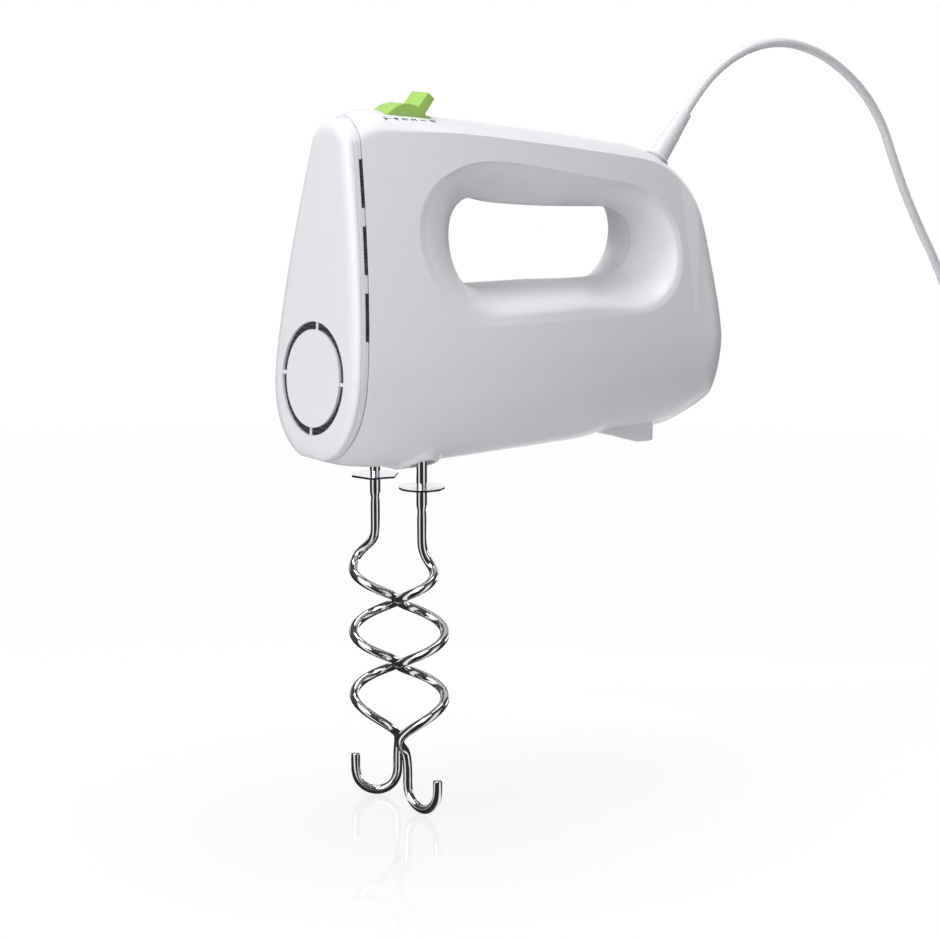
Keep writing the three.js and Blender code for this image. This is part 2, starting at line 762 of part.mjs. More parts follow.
// ---------------------------------------------------------------- motor
function radialFan() {
  const plate = fanX + fanDepth;
  const blade = new THREE.Shape();
  blade.moveTo(5, -0.6);
  blade.quadraticCurveTo(13, 1.5, fanRadius, 7);
  blade.lineTo(fanRadius - 0.6, 8);
  blade.quadraticCurveTo(13, 2.9, 5, 0.6);
  const drawn = { depth: fanDepth - 1, bevelEnabled: false, curveSegments: 4 };
  const bladeGeometry = new THREE.ExtrudeGeometry(blade, drawn);
  bladeGeometry.rotateY(Math.PI / 2);
  bladeGeometry.translate(plate - fanDepth + 0.5, 0, 0);
  const blades = Array.from({ length: fanBlades }, (unused, i) => {
    const copy = bladeGeometry.clone().rotateX((2 * Math.PI * i) / fanBlades);
    return solid(copy.translate(0, 0, shaftHeight));
  });
  return join(
    cylinderX(fanRadius + 1.5, plate - 1.2, plate, 0, shaftHeight, 36),
    cylinderX(6, plate - fanDepth, plate, 0, shaftHeight),
    ...blades,
  ).subtract(cylinderX(shaftRadius + seat / 2, -60, 0, 0, shaftHeight));
}

function shaftBearing(x) {
  return cylinderX(bearingRadius, x, x + bearingLength, 0, shaftHeight)
    .subtract(cylinderX(shaftRadius + 0.1, x - 1, x + bearingLength + 1, 0, shaftHeight));
}

function statorStack() {
  const halfY = statorWidth / 2;
  const halfZ = statorHeight / 2;
  const z = shaftHeight;
  const x0 = stackX;
  const x1 = stackX + stackLength;
  const frame = box(x0, x1, -halfY, halfY, z - halfZ, z + halfZ)
    .subtract(box(x0 - 1, x1 + 1, -halfY + 3.5, halfY - 3.5, z - halfZ + 4, z + halfZ - 4));
  const poles = box(x0, x1, -halfY + 1, halfY - 1, z - 8.7, z + 8.7);
  return join(frame, poles).subtract(cylinderX(statorBore, x0 - 1, x1 + 1, 0, z, 36));
}

function fieldCoil() {
  const z = shaftHeight;
  return box(stackX - 4, stackX + stackLength + 4, 15.6, 19.2, z - 16, z + 16)
    .subtract(box(stackX - seat, stackX + stackLength + seat, 15, 20, z - 9, z + 9));
}

const coreSlot = 2.2;
const coreSlotFloor = 7.5;

// Bar along the armature in one of its slots.
function armatureBar(i, x0, x1, width, top) {
  const bar = new THREE.BoxGeometry(x1 - x0, width, top - coreSlotFloor);
  bar.translate((x0 + x1) / 2, 0, (top + coreSlotFloor) / 2);
  bar.rotateX((2 * Math.PI * i) / 10);
  return solid(bar.translate(0, 0, shaftHeight));
}

function armatureStack() {
  const radius = statorBore - airGap;
  const x0 = stackX;
  const x1 = stackX + stackLength;
  const slots = Array.from({ length: 10 }, (unused, i) => {
    return armatureBar(i, x0 - 1, x1 + 1, coreSlot, radius + 1);
  });
  return cylinderX(radius, x0, x1, 0, shaftHeight, 40)
    .subtract(join(...slots))
    .subtract(cylinderX(shaftRadius + seat / 2, x0 - 1, x1 + 1, 0, shaftHeight));
}

function aboutShaft(manifold, x) {
  return manifold.rotate([0, 90, 0]).translate([x, 0, shaftHeight]);
}

function armatureWinding() {
  const r0 = shaftRadius + seat / 2;
  const end = [[r0, 0], [11, 0], [12.4, 2], [11, 5], [7, 6.2], [r0, 6.2], [r0, 0]];
  const rear = aboutShaft(revolve(end), stackX + stackLength + seat);
  const front = aboutShaft(revolve(end), 0).mirror([1, 0, 0]).translate([stackX - seat, 0, 0]);
  const inset = coreSlot - 2 * seat;
  const bars = Array.from({ length: 10 }, (unused, i) => armatureBar(
    i, stackX - 2, stackX + stackLength + 2, inset, 11,
  ).subtract(cylinderX(coreSlotFloor + seat, 0, 200, 0, shaftHeight, 40)));
  return join(rear, front, ...bars);
}

function commutator() {
  const x1 = commutatorX + commutatorLength;
  return join(
    cylinderX(commutatorRadius, commutatorX, x1, 0, shaftHeight, 36),
    cylinderX(commutatorRadius + 1.2, commutatorX - 1.6, commutatorX + 0.5, 0, shaftHeight, 36),
  ).subtract(cylinderX(shaftRadius + seat / 2, commutatorX - 3, x1 + 1, 0, shaftHeight));
}

const bracketX = rearBearingX - 4;
const armInner = 20.6;

function rearBracket() {
  const z = shaftHeight;
  const arm = box(stackX + stackLength + 4 + seat, bracketX + 3, armInner, armInner + 2.4, z - 7, z + 7);
  const stackEnd = stackX + stackLength;
  const stub = box(stackEnd + seat, stackEnd + 6, armInner, armInner + 2.4, z - 7, z + 7);
  return join(
    box(bracketX, bracketX + 3, -armInner - 2.4, armInner + 2.4, z - 12, z + 12),
    cylinderX(bearingRadius + 2.6, bracketX, rearBearingX + bearingLength, 0, z),
    arm, stub, mirrored(arm), mirrored(stub),
  ).subtract(cylinderX(bearingRadius + seat / 2, rearBearingX - 0.2, rearBearingX + bearingLength + 1, 0, z))
    .subtract(cylinderX(shaftRadius + 0.6, bracketX - 1, rearBearingX + 1, 0, z))
    .subtract(brushBlock(-60, 60, 3.5 + seat, 3 + seat));
}

function brushBlock(y0, y1, halfX, halfZ) {
  const x = commutatorX + commutatorLength / 2;
  return box(x - halfX, x + halfX, y0, y1, shaftHeight - halfZ, shaftHeight + halfZ);
}

function brushHolder() {
  const y0 = commutatorRadius + 1.5;
  return brushBlock(y0, armInner + 4, 3.5, 3).subtract(brushBlock(y0 - 1, armInner + 3, 2.5, 2));
}

function carbonBrush() {
  const y0 = commutatorRadius + 0.25;
  return brushBlock(y0, y0 + 9, 2.2, 1.7);
}

// ---------------------------------------------------------------- frame that carries the drive
function gearFrame() {
  const y = spindleSpacing / 2;
  const z = shaftHeight;
  const plateLow = 14;
  const x0 = -22;
  const x1 = 22;
  const posts = [[1, 1], [1, -1], [-1, 1], [-1, -1]].map(([sy, sz]) => box(
    x1 - 2, stackX - seat, sy * 19.5 - 2, sy * 19.5 + 2, z + sz * 18.5 - 2, z + sz * 18.5 + 2,
  ));
  const solidFrame = join(
    box(x0, x1, -23, 23, plateLow, plateLow + 3),
    box(x0, x1, -23, 23, plateHigh, plateHigh + 2.5),
    box(x0, x0 + 3, -16, 16, plateLow, plateHigh + 2.5),
    box(x1 - 3, x1, -22, 22, plateLow, z + 20.5),
    cylinderX(bearingRadius + 2.6, frontBearingX, x0 + 3, 0, z),
    cylinderZ(frameTubeRadius, 0, y, tubeLow, plateLow + 1),
    cylinderZ(frameTubeRadius, 0, -y, tubeLow, plateLow + 1),
    ...posts,
  );
  const lower = bushRadius + seat / 2;
  return solidFrame
    .subtract(cylinderX(bearingRadius + seat / 2, frontBearingX - 1, frontBearingX + bearingLength, 0, z))
    .subtract(cylinderX(12.5, x1 - 5, x1 + 1, 0, z))
    .subtract(join(...[y, -y].map((side) => cylinderZ(lower, 0, side, 0, plateLow + 8))))
    .subtract(join(...[y, -y].map((side) => cylinderZ(lower, 0, side, plateHigh - 2, plateHigh + 10))));
}

const bushRadius = 5.9;
const plateHigh = shaftHeight + 8.8;   // upper plate of the gear frame

function spindleBush(z0, z1) {
  const y = spindleSpacing / 2;
  return cylinderZ(bushRadius, 0, y, z0, z1).subtract(cylinderZ(spindleRadius + 0.1, 0, y, z0 - 1, z1 + 1));
}

// ---------------------------------------------------------------- electrics
function controlBoard() {
  return box(boardX0, boardX1, -10, 10, boardZ, boardZ + 1.6);
}

const boardTop = boardZ + 1.6 + seat;

function filmCapacitor() {
  return box(boardX0 + 4, boardX0 + 16, -8, 8, boardTop, boardTop + 9);
}

function choke() {
  return cylinderZ(5, boardX0 + 32, 0, boardTop, boardTop + 11, 20);
}

function powerSwitchChip() {
  return box(boardX0 + 41, boardX0 + 46, -6, 6, boardTop, boardTop + 8);
}

function terminalBlock() {
  const block = box(blockX - 6, blockX + 6, -8, 8, blockZ, blockZ + 9);
  const ways = [-4, 4].map((y) => cylinderZ(1.8, blockX, y, blockZ + 3, blockZ + 12, 12));
  return block.subtract(join(...ways));
}

// ---------------------------------------------------------------- strain relief
const reliefWay = new THREE.Vector3(Math.cos(reliefAngle), 0, Math.sin(reliefAngle));

// Places a solid drawn along Z on the strain relief's axis.
function onRelief(manifold) {
  return manifold
    .rotate([0, 90 - THREE.MathUtils.radToDeg(reliefAngle), 0])
    .translate([reliefX, 0, reliefZ]);
}

function reliefHole() {
  return onRelief(cylinderZ(reliefBase - 0.6 + seat, 0, 0, -9, 6));
}

function strainRelief() {
  const bore = cordRadius + 0.25;
  const neck = reliefBase - 0.6;
  const rings = 6;
  const profile = [
    [bore, -7], [reliefBase + 1.6, -7], [reliefBase + 1.6, -4.2],
    [neck, -4.2], [neck, 0.9], [reliefBase, 0.9],
  ];
  for (let i = 0; i < rings; i += 1) {
    const low = 2 + ((reliefLength - 4) * i) / rings;
    const radius = THREE.MathUtils.lerp(reliefBase, reliefEnd, (i + 0.5) / rings);
    profile.push([radius, low], [radius - 0.12, low + (reliefLength - 4) / rings]);
  }
  profile.push([reliefEnd, reliefLength - 1], [reliefEnd - 0.3, reliefLength]);
  profile.push([bore, reliefLength], [bore, -7]);
  return onRelief(revolve(profile, 20));
}

// ---------------------------------------------------------------- hooks
// Wire centre line from the shank to the tip. hand is +1 for a right-handed helix; turn0 is the
// helix angle in degrees at levelZ, and endAngle the direction of the straight run to the end hook.
function hookCurve(hand, turn0, levelZ, endAngle) {
  const rad = THREE.MathUtils.degToRad;
  const angleAt = (z) => rad(turn0) + (hand * (z - levelZ) * 2 * Math.PI) / helixPitch;
  const endTurn = rad(endAngle);
  const points = [new THREE.Vector3(0, 0, shankCrimp - 1), new THREE.Vector3(0, 0, helixStart + 4)];
  const step = helixPitch / 12;
  let z = helixStart;
  const lowest = levelZ - ((((turn0 - endAngle) * hand) % 360) + 360) % 360 / 360 * helixPitch;
  const turnsLeft = Math.floor((lowest - (hookBend + 18)) / helixPitch);
  const stop = lowest - turnsLeft * helixPitch;
  while (z > stop + step * 0.8) {
    const radius = helixRadius * smooth(0, helixRun, helixStart - z);
    points.push(new THREE.Vector3(radius * Math.cos(angleAt(z)), radius * Math.sin(angleAt(z)), z));
    z -= step;
  }
  const out = new THREE.Vector3(Math.cos(endTurn), Math.sin(endTurn), 0);
  points.push(out.clone().multiplyScalar(helixRadius * 0.985).setZ(stop - 2));
  points.push(out.clone().multiplyScalar(hookEndRadius).setZ(stop - 8));
  for (let i = 0; i <= 8; i += 1) {
    const turn = (Math.PI * i) / 8;
    const level = out.clone().multiplyScalar(hookEndRadius * Math.cos(turn));
    points.push(level.setZ(hookBend - hookEndRadius * Math.sin(turn)));
  }
  points.push(out.clone().multiplyScalar(-hookEndRadius).setZ(hookBend + hookTip));
  return new THREE.CatmullRomCurve3(points, false, 'centripetal');
}

function hook(side, curve) {
  const shank = revolve([
    [0, shankCrimp - 2], [wireRadius - 0.1, shankCrimp - 2], [wireRadius - 0.2, shankCrimp],
    [shankRadius, shankCrimp + 2], [shankRadius, shankTop - 1.5], [shankRadius - 1, shankTop], [0, shankTop],
  ], 20);
  const earTop = shankTop - 4;
  const ears = box(-earRadius, earRadius, -earWidth / 2, earWidth / 2, earTop - earLength, earTop);
  return join(shank, ears, tube(wireRadius, curve, 72, 8)).translate([0, (side * spindleSpacing) / 2, 0]);
}

function collar(side, radius, sides, turn) {
  const plate = new THREE.CylinderGeometry(radius, radius, collarThickness, sides);
  plate.rotateX(Math.PI / 2).rotateZ(turn).translate(0, (side * spindleSpacing) / 2, collarZ);
  const y = (side * spindleSpacing) / 2;
  return solid(plate).subtract(cylinderZ(shankRadius + 0.1, 0, y, collarZ - 2, collarZ + 2, 20));
}

// ---------------------------------------------------------------- cord
const reliefTip = new THREE.Vector3(reliefX, 0, reliefZ).addScaledVector(reliefWay, reliefLength);
const cordRoute = [
  new THREE.Vector3(reliefX, 0, reliefZ).addScaledVector(reliefWay, -9),
  new THREE.Vector3(reliefX, 0, reliefZ).addScaledVector(reliefWay, 6),
  reliefTip,
  ...[
    [171.6, 0, 158.6], [180.2, 0, 166.8], [190.8, 0, 173.6], [202.6, 0, 178.4], [213.6, 0, 180.6],
    [224.6, 0, 180.8], [235.6, 0, 178.9], [248.6, 0, 174.5], [262, 0, 167.1], [273.6, 0, 158.2],
    [283, 0, 148.2], [290.6, 0, 137], [297.4, 0, 122.6], [306, 0, 105], [316.5, 0, 87], [328.5, 0, 68],
    [339.5, 0, 47], [348, 0, 24], [353, 0, -2], [356, 0, -34], [357, 0, -66], [357, 0, -98],
    [357, 0, -126], [360, 0, -144], [368, 0, -155.5], [378, 0, floorZ + cordRadius],
    [coilX - seat / 2, 0, floorZ + cordRadius],
  ].map(([x, y, z]) => new THREE.Vector3(x, y, z)),
];

const coilY = -(coilRadius + coilHalfWidth + cordRadius + seat);

function mainsCord() {
  return tube(cordRadius, new THREE.CatmullRomCurve3(cordRoute, false, 'centripetal'), 54, 8);
}

function cordCoil() {
  const r0 = coilRadius - coilHalfWidth;
  const r1 = coilRadius + coilHalfWidth;
  const z0 = floorZ;
  const z1 = floorZ + coilHeight;
  return revolve([[r0, z0], [r1, z0], [r1, z1], [r0, z1], [r0, z0]], 28).translate([coilX, coilY, 0]);
}

function cordTie() {
  const z0 = floorZ;
  const z1 = floorZ + coilHeight;
  const y = coilY - coilRadius;
  const clear = 0.5;
  const band = box(coilX - 3, coilX + 3, y - coilHalfWidth - 1.7, y + coilHalfWidth + 1.7, z0, z1 + 1.5);
  const reach = coilHalfWidth + clear;
  return band.subtract(box(coilX - 4, coilX + 4, y - reach, y + reach, z0 - 1, z1 + clear));
}

function plugBody() {
  const shape = new THREE.Shape();
  const halfW = 17.5;
  shape.moveTo(-3.5, 0);
  shape.lineTo(3.5, 0);
  shape.lineTo(3.5, 8);
  shape.quadraticCurveTo(halfW - 2, 14, halfW, 26);
  shape.lineTo(halfW, 36);
  shape.lineTo(-halfW, 36);
  shape.lineTo(-halfW, 26);
  shape.quadraticCurveTo(-halfW + 2, 14, -3.5, 8);
  const geometry = new THREE.ExtrudeGeometry(shape, { depth: 13.5, bevelEnabled: false, curveSegments: 6 });
  geometry.rotateZ(Math.PI);
  return solid(geometry.translate(plugX, plugY, floorZ));
}

function plugPin(side) {
  const x = plugX + side * 9.5;
  const face = plugY - 36 - seat;
  return cylinderY(2, x, face - 19, face, floorZ + 6.75, 14);
}

function cordTail() {
  const low = floorZ + cordRadius;
  const curve = new THREE.CatmullRomCurve3([
    new THREE.Vector3(coilX + seat / 2, 0, low),
    new THREE.Vector3(coilX + 14, 0, low),
    new THREE.Vector3(coilX + 30, -0.6, low + 0.6),
    new THREE.Vector3(coilX + 42, -4, low + 2),
    new THREE.Vector3(plugX - 1, -10, low + 3.8),
    new THREE.Vector3(plugX, plugY + 3, floorZ + 6.7),
    new THREE.Vector3(plugX, plugY + seat, floorZ + 6.75),
  ], false, 'centripetal');
  return tube(cordRadius, curve, 16, 8);
}

// ---------------------------------------------------------------- assembly
const mixer = new THREE.Group();

function place(name, manifold, look) {
  const mesh = new THREE.Mesh(geometryOf(manifold), look);
  mesh.name = name;
  mixer.add(mesh);
}

// Places a solid drawn on the right-hand side, and its mirror image on the left.
function placePair(name, manifold, look) {
  place(`${name}_right`, manifold, look());
  place(`${name}_left`, mirrored(manifold), look());
}

placePair('housing', housingHalf(), whitePlastic);
place('front_cover', frontCover(), whitePlastic());
place('vent_frame', ventFrame(), whitePlastic());
place('slot_filter', slotFilter(), greyPlastic());
place('speed_switch', speedSwitch(), greenPlastic());
place('switch_axle', switchAxle(), dullSteel());
place('eject_slider', ejectSlider(), naturalPlastic());
place('drive_spindle_left', driveSpindle(-1), naturalPlastic());
place('drive_spindle_right', driveSpindle(1), naturalPlastic());
placePair('lower_bush', spindleBush(tubeLow, tubeLow + 7), brass);
placePair('upper_bush', spindleBush(plateHigh, plateHigh + 2.5), brass);
place('motor_shaft', motorShaft(), dullSteel());
place('fan', radialFan(), greyPlastic());
place('front_bearing', shaftBearing(frontBearingX), brass());
place('rear_bearing', shaftBearing(rearBearingX), brass());
place('stator_stack', statorStack(), dullSteel());
placePair('field_coil', fieldCoil(), copper);
place('armature_stack', armatureStack(), dullSteel());
place('armature_winding', armatureWinding(), copper());
place('commutator', commutator(), copper());
place('rear_bracket', rearBracket(), naturalPlastic());
placePair('brush_holder', brushHolder(), brass);
placePair('carbon_brush', carbonBrush(), carbon);
place('gear_frame', gearFrame(), naturalPlastic());
place('control_board', controlBoard(), boardGreen());
place('film_capacitor', filmCapacitor(), carbon());
place('choke', choke(), carbon());
place('power_switch_chip', powerSwitchChip(), carbon());
place('terminal_block', terminalBlock(), whitePlastic());
place('strain_relief', strainRelief(), whitePlastic());
place('hook_left', hook(-1, hookCurve(1, helixTurn, leftLevel, 100)), polishedSteel());
place('hook_left_collar', collar(-1, roundCollarRadius, 36, 0), polishedSteel());
place('hook_right', hook(1, hookCurve(-1, helixTurn, rightLevel, -35)), polishedSteel());
place('hook_right_collar', collar(1, hexCollarRadius, 6, THREE.MathUtils.degToRad(17)), polishedSteel());
place('cord', mainsCord(), whitePlastic());
place('cord_coil', cordCoil(), whitePlastic());
place('cord_tail', cordTail(), whitePlastic());
place('cord_tie', cordTie(), whitePlastic());
place('plug_body', plugBody(), whitePlastic());
place('plug_pin_left', plugPin(-1), brass());
place('plug_pin_right', plugPin(1), brass());

mixer.position.set(-gripX, 0, -gripZ);

export default mixer;
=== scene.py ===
import json
import math
import bmesh
import bpy
import numpy as np
from mathutils import Matrix

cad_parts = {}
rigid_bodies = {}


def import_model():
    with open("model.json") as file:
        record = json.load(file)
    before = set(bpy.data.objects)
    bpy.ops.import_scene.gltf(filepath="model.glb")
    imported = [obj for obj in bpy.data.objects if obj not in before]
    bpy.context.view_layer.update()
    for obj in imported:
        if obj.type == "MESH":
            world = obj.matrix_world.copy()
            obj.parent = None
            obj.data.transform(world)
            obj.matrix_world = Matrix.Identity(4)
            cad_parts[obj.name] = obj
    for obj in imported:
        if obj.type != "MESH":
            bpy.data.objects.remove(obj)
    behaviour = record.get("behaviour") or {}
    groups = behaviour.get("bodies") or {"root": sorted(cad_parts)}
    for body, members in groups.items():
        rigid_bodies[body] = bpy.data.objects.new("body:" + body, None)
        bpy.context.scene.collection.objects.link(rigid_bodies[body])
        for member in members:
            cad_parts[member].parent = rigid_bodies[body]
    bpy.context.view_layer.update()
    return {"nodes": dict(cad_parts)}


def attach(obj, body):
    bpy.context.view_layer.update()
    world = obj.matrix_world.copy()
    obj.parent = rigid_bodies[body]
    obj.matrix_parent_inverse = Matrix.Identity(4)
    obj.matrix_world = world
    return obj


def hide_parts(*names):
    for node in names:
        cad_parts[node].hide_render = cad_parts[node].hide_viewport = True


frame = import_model()
scene = bpy.context.scene
SHIFT = np.array([-75.0, 0.0, -127.0])  # drawing frame (mm) to row frame


# ---- arrays
def metres(points):
    """Drawing-frame millimetres as metres of the row frame."""
    return (np.asarray(points, float) + SHIFT) / 1000


def unit(vectors):
    """Vectors brought to length one."""
    return vectors / np.linalg.norm(vectors, axis=-1, keepdims=True)


def heading(path):
    """Unit directions along a path."""
    return unit(np.gradient(path, axis=0))


def stacked(*parts):
    """Coordinates given one by one, as points."""
    return np.stack(np.broadcast_arrays(*parts), -1)


def full_turn(count):
    """Angles evenly round a circle."""
    return np.linspace(0, 2 * np.pi, count, endpoint=False)


def tilt(angle):
    """Turns Z towards X."""
    c, s = math.cos(angle), math.sin(angle)
    return np.array([[c, 0, s], [0, 1, 0], [-s, 0, c]])


def signed_power(value, power):
    """|value|^power with the value's own sign."""
    return np.sign(value) * np.abs(value) ** power


def oblong(x0, x1, y0, y1):
    """Corners of a rectangle."""
    return [(x0, y0), (x1, y0), (x1, y1), (x0, y1)]


def added(name, data):
    """A new object in the scene."""
    thing = bpy.data.objects.new(name, data)
    scene.collection.objects.link(thing)
    return thing


# ---- camera
def look(back, origin, offset=(0, 0, 0)):
    """Placement that looks against back and stays level, at an origin plus an offset right, up and back."""
    right = unit(np.cross((0, 0, 1), back))
    axes = np.array([right, np.cross(back, right), back])
    turn = np.identity(4)
    turn[:3, :3], turn[:3, 3] = axes.T, origin + np.array(offset) @ axes
    return Matrix(turn.tolist())


def studio_camera():
    """A long lens, level across, a little above the mixer and ahead of its left side."""
    azimuth, elevation = math.radians(-34.971), math.radians(10.471)
    back = np.array([math.sin(azimuth) * math.cos(elevation),
                     -math.cos(azimuth) * math.cos(elevation), math.sin(elevation)])
    data = bpy.data.cameras.new("camera")
    sensor, reach, across = 36, 2978.22, 940  # sensor in mm; focal length and width of view in one unit
    data.sensor_width, data.lens, data.clip_end = sensor, reach * sensor / across, 40
    scene.camera = added("camera", data)
    scene.camera.matrix_world = look(back, SHIFT / 1000, (0.032462, -0.004922, 1.342918))


studio_camera()


# ---- meshes from arrays
def mesh_piece(name, verts, faces, body="body"):
    """A piece from drawing-frame points and faces, its doubles merged and its faces turned out."""
    mesh = bpy.data.meshes.new(name)
    mesh.from_pydata(metres(verts).tolist(), [], faces)
    work = bmesh.new()
    work.from_mesh(mesh)
    bmesh.ops.remove_doubles(work, verts=work.verts, dist=2e-6)
    bmesh.ops.recalc_face_normals(work, faces=work.faces)
    if work.calc_volume(signed=True) < 0:
        bmesh.ops.reverse_faces(work, faces=work.faces)
    work.to_mesh(mesh)
    work.free()
    mesh.shade_smooth()
    piece = added(name, mesh)
    piece["rides"] = body
    return piece


def grid_mesh(name, points, ring=False, body="body"):
    """Skin over closed rows of points (row, place, 3); the rows make a ring, or the end rows are filled."""
    points = np.asarray(points, float)
    nu, nv = points.shape[:2]
    uu, vv = np.meshgrid(np.arange(nu if ring else nu - 1), np.arange(nv), indexing="ij")
    un, vn = (uu + 1) % nu, (vv + 1) % nv
    faces = stacked(uu * nv + vv, un * nv + vv, un * nv + vn, uu * nv + vn).reshape(-1, 4).tolist()
    if not ring:
        faces += [list(range(nv)), list(range(nu * nv - 1, nu * nv - nv - 1, -1))]
    return mesh_piece(name, points.reshape(-1, 3), faces, body)


def revolve(name, profile, sides, at, turn=np.identity(3)):
    """Closed profile of (radius, height) pairs turned about Z, then turned and moved into place."""
    radius, height = np.array(profile, float).T[..., None]
    angle = full_turn(sides)
    points = stacked(radius * np.cos(angle), radius * np.sin(angle), height)
    return grid_mesh(name, points @ np.asarray(turn).T + at, ring=True)


def rounded(outline, radius, steps):
    """Closed outline with each corner P replaced by the curve (1-t)^2 A + 2t(1-t) P + t^2 B."""
    points = np.asarray(outline, float)
    to_b, to_a = np.roll(points, 1, 0) - points, np.roll(points, -1, 0) - points
    shorter = np.minimum(np.linalg.norm(to_b, axis=1), np.linalg.norm(to_a, axis=1))
    reach = np.minimum(radius, 0.49 * shorter)[:, None]
    start, end = points + unit(to_b) * reach, points + unit(to_a) * reach
    t = np.linspace(0, 1, steps)[None, :, None]
    arcs = (1 - t) ** 2 * start[:, None] + 2 * t * (1 - t) * points[:, None] + t ** 2 * end[:, None]
    return arcs.reshape(-1, 2)


def even(path, step):
    """The same line with points about a step apart."""
    path = np.asarray(path, float)
    run = np.concatenate([[0], np.cumsum(np.linalg.norm(np.diff(path, axis=0), axis=1))])
    want = np.linspace(0, run[-1], max(2, int(round(run[-1] / step)) + 1))
    return stacked(*[np.interp(want, run, line) for line in path.T])


def spline(points, per):
    """Centripetal spline: cubics between neighbours whose speeds follow the roots of the chord lengths."""
    p = np.asarray(points, float)
    p = np.concatenate([2 * p[:1] - p[1:2], p, 2 * p[-1:] - p[-2:-1]])
    d = np.maximum(np.linalg.norm(np.diff(p, axis=0), axis=1) ** 0.5, 1e-4)[:, None]
    p0, p1, p2, p3, d0, d1, d2 = p[:-3], p[1:-2], p[2:-1], p[3:], d[:-2], d[1:-1], d[2:]
    m1 = ((p1 - p0) / d0 - (p2 - p0) / (d0 + d1) + (p2 - p1) / d1) * d1
    m2 = ((p2 - p1) / d1 - (p3 - p1) / (d1 + d2) + (p3 - p2) / d2) * d1
    t = (np.arange(per) / per)[None, :, None]
    curve = (2 * t ** 3 - 3 * t ** 2 + 1) * p1[:, None] + (t ** 3 - 2 * t ** 2 + t) * m1[:, None]
    curve = curve + (3 * t ** 2 - 2 * t ** 3) * p2[:, None] + (t ** 3 - t ** 2) * m2[:, None]
    return np.concatenate([curve.reshape(-1, p.shape[1]), p2[-1:]])


def smoothstep(low, high, value):
    """0 below low, 1 above high, 3t^2 - 2t^3 between."""
    t = np.clip((np.asarray(value, float) - low) / (high - low), 0, 1)
    return t * t * (3 - 2 * t)


def wire(name, path, radius, across, sides, body="body"):
    """Round wire: circles across each path point, each row turned back by the sum of the twists before it.

    Six more circles at either end close it with a quarter-round edge.
    """
    way = heading(path)
    side = unit(np.cross(way, across))
    up = np.cross(way, side)
    step = np.arctan2((side[1:] * up[:-1]).sum(1), (side[1:] * side[:-1]).sum(1))
    twist = np.concatenate([[0], np.cumsum(step)])
    radius = np.broadcast_to(radius, (len(path),))
    edge, soft = np.linspace(0, np.pi / 2, 7)[:-1], 0.6
    out, drop = soft * np.cos(edge)[:, None], soft * (1 - np.sin(edge))
    path = np.concatenate([path[0] - way[0] * out, path, (path[-1] + way[-1] * out)[::-1]])
    radius = np.concatenate([radius[0] - drop, radius, (radius[-1] - drop)[::-1]])
    row = np.clip(np.arange(len(path)) - len(edge), 0, len(way) - 1)
    angle = (full_turn(sides) - twist[row][:, None])[..., None]
    ring = side[row][:, None] * np.cos(angle) + up[row][:, None] * np.sin(angle)
    return grid_mesh(name, path[:, None] + ring * radius[:, None, None], body=body)


def eased(path, reach=9, times=2):
    """The path with each point moved to a weighted mean of its neighbours; the ends stay."""
    weight = np.hanning(reach + 2)[1:-1]
    weight /= weight.sum()
    half = reach // 2
    for _ in range(times):
        before, after = 2 * path[:1] - path[half:0:-1], 2 * path[-1:] - path[-2:-half - 2:-1]
        wide = np.concatenate([before, path, after])
        path = stacked(*[np.convolve(line, weight, "valid") for line in wide.T])
    return path


def box_mesh(name, low, high, soft=0.0, turn=np.identity(3), at=(0, 0, 0)):
    """Box between two corners, turned and moved into place, its edges rounded by a bevel."""
    (x0, y0, z0), (x1, y1, z1) = low, high
    verts = np.array([(x, y, z) for x in (x0, x1) for y in (y0, y1) for z in (z0, z1)])
    faces = [(0, 1, 3, 2), (4, 6, 7, 5), (0, 4, 5, 1), (2, 3, 7, 6), (0, 2, 6, 4), (1, 5, 7, 3)]
    piece = mesh_piece(name, verts @ turn.T + at, faces)
    piece.data.shade_flat()
    if soft:
        bevel = piece.modifiers.new("edge", "BEVEL")
        bevel.width, bevel.segments = soft / 1000, 3
        make_real(piece)
        crisp(piece)
    return piece


def make_real(piece):
    """Makes the live modifiers part of the mesh."""
    graph = bpy.context.evaluated_depsgraph_get()
    mesh = bpy.data.meshes.new_from_object(piece.evaluated_get(graph))
    old, piece.data = piece.data, mesh
    piece.modifiers.clear()
    bpy.data.meshes.remove(old)
    mesh.name = piece.name


def cut(piece, *tools):
    """Takes the tools' solids out of a piece and deletes them."""
    for tool in tools:
        step = piece.modifiers.new("cut", "BOOLEAN")
        step.operation, step.solver, step.object = "DIFFERENCE", "EXACT", tool
        make_real(piece)
        bpy.data.objects.remove(tool)


def merge(piece, *others):
    """Adds the others' meshes to a piece's mesh and deletes them."""
    work = bmesh.new()
    work.from_mesh(piece.data)
    for other in others:
        work.from_mesh(other.data)
        bpy.data.objects.remove(other)
    work.to_mesh(piece.data)
    work.free()
    return piece


def crisp(piece, degrees=32):
    """Smooth shading that breaks at sharp edges."""
    piece.data.shade_smooth()
    piece.data.set_sharp_from_angle(angle=math.radians(degrees))


def stand_in(piece, degrees, *nodes):
    """Breaks a piece's shading at edges sharper than an angle; the piece takes the place of CAD nodes."""
    crisp(piece, degrees)
    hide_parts(*nodes)
    return piece


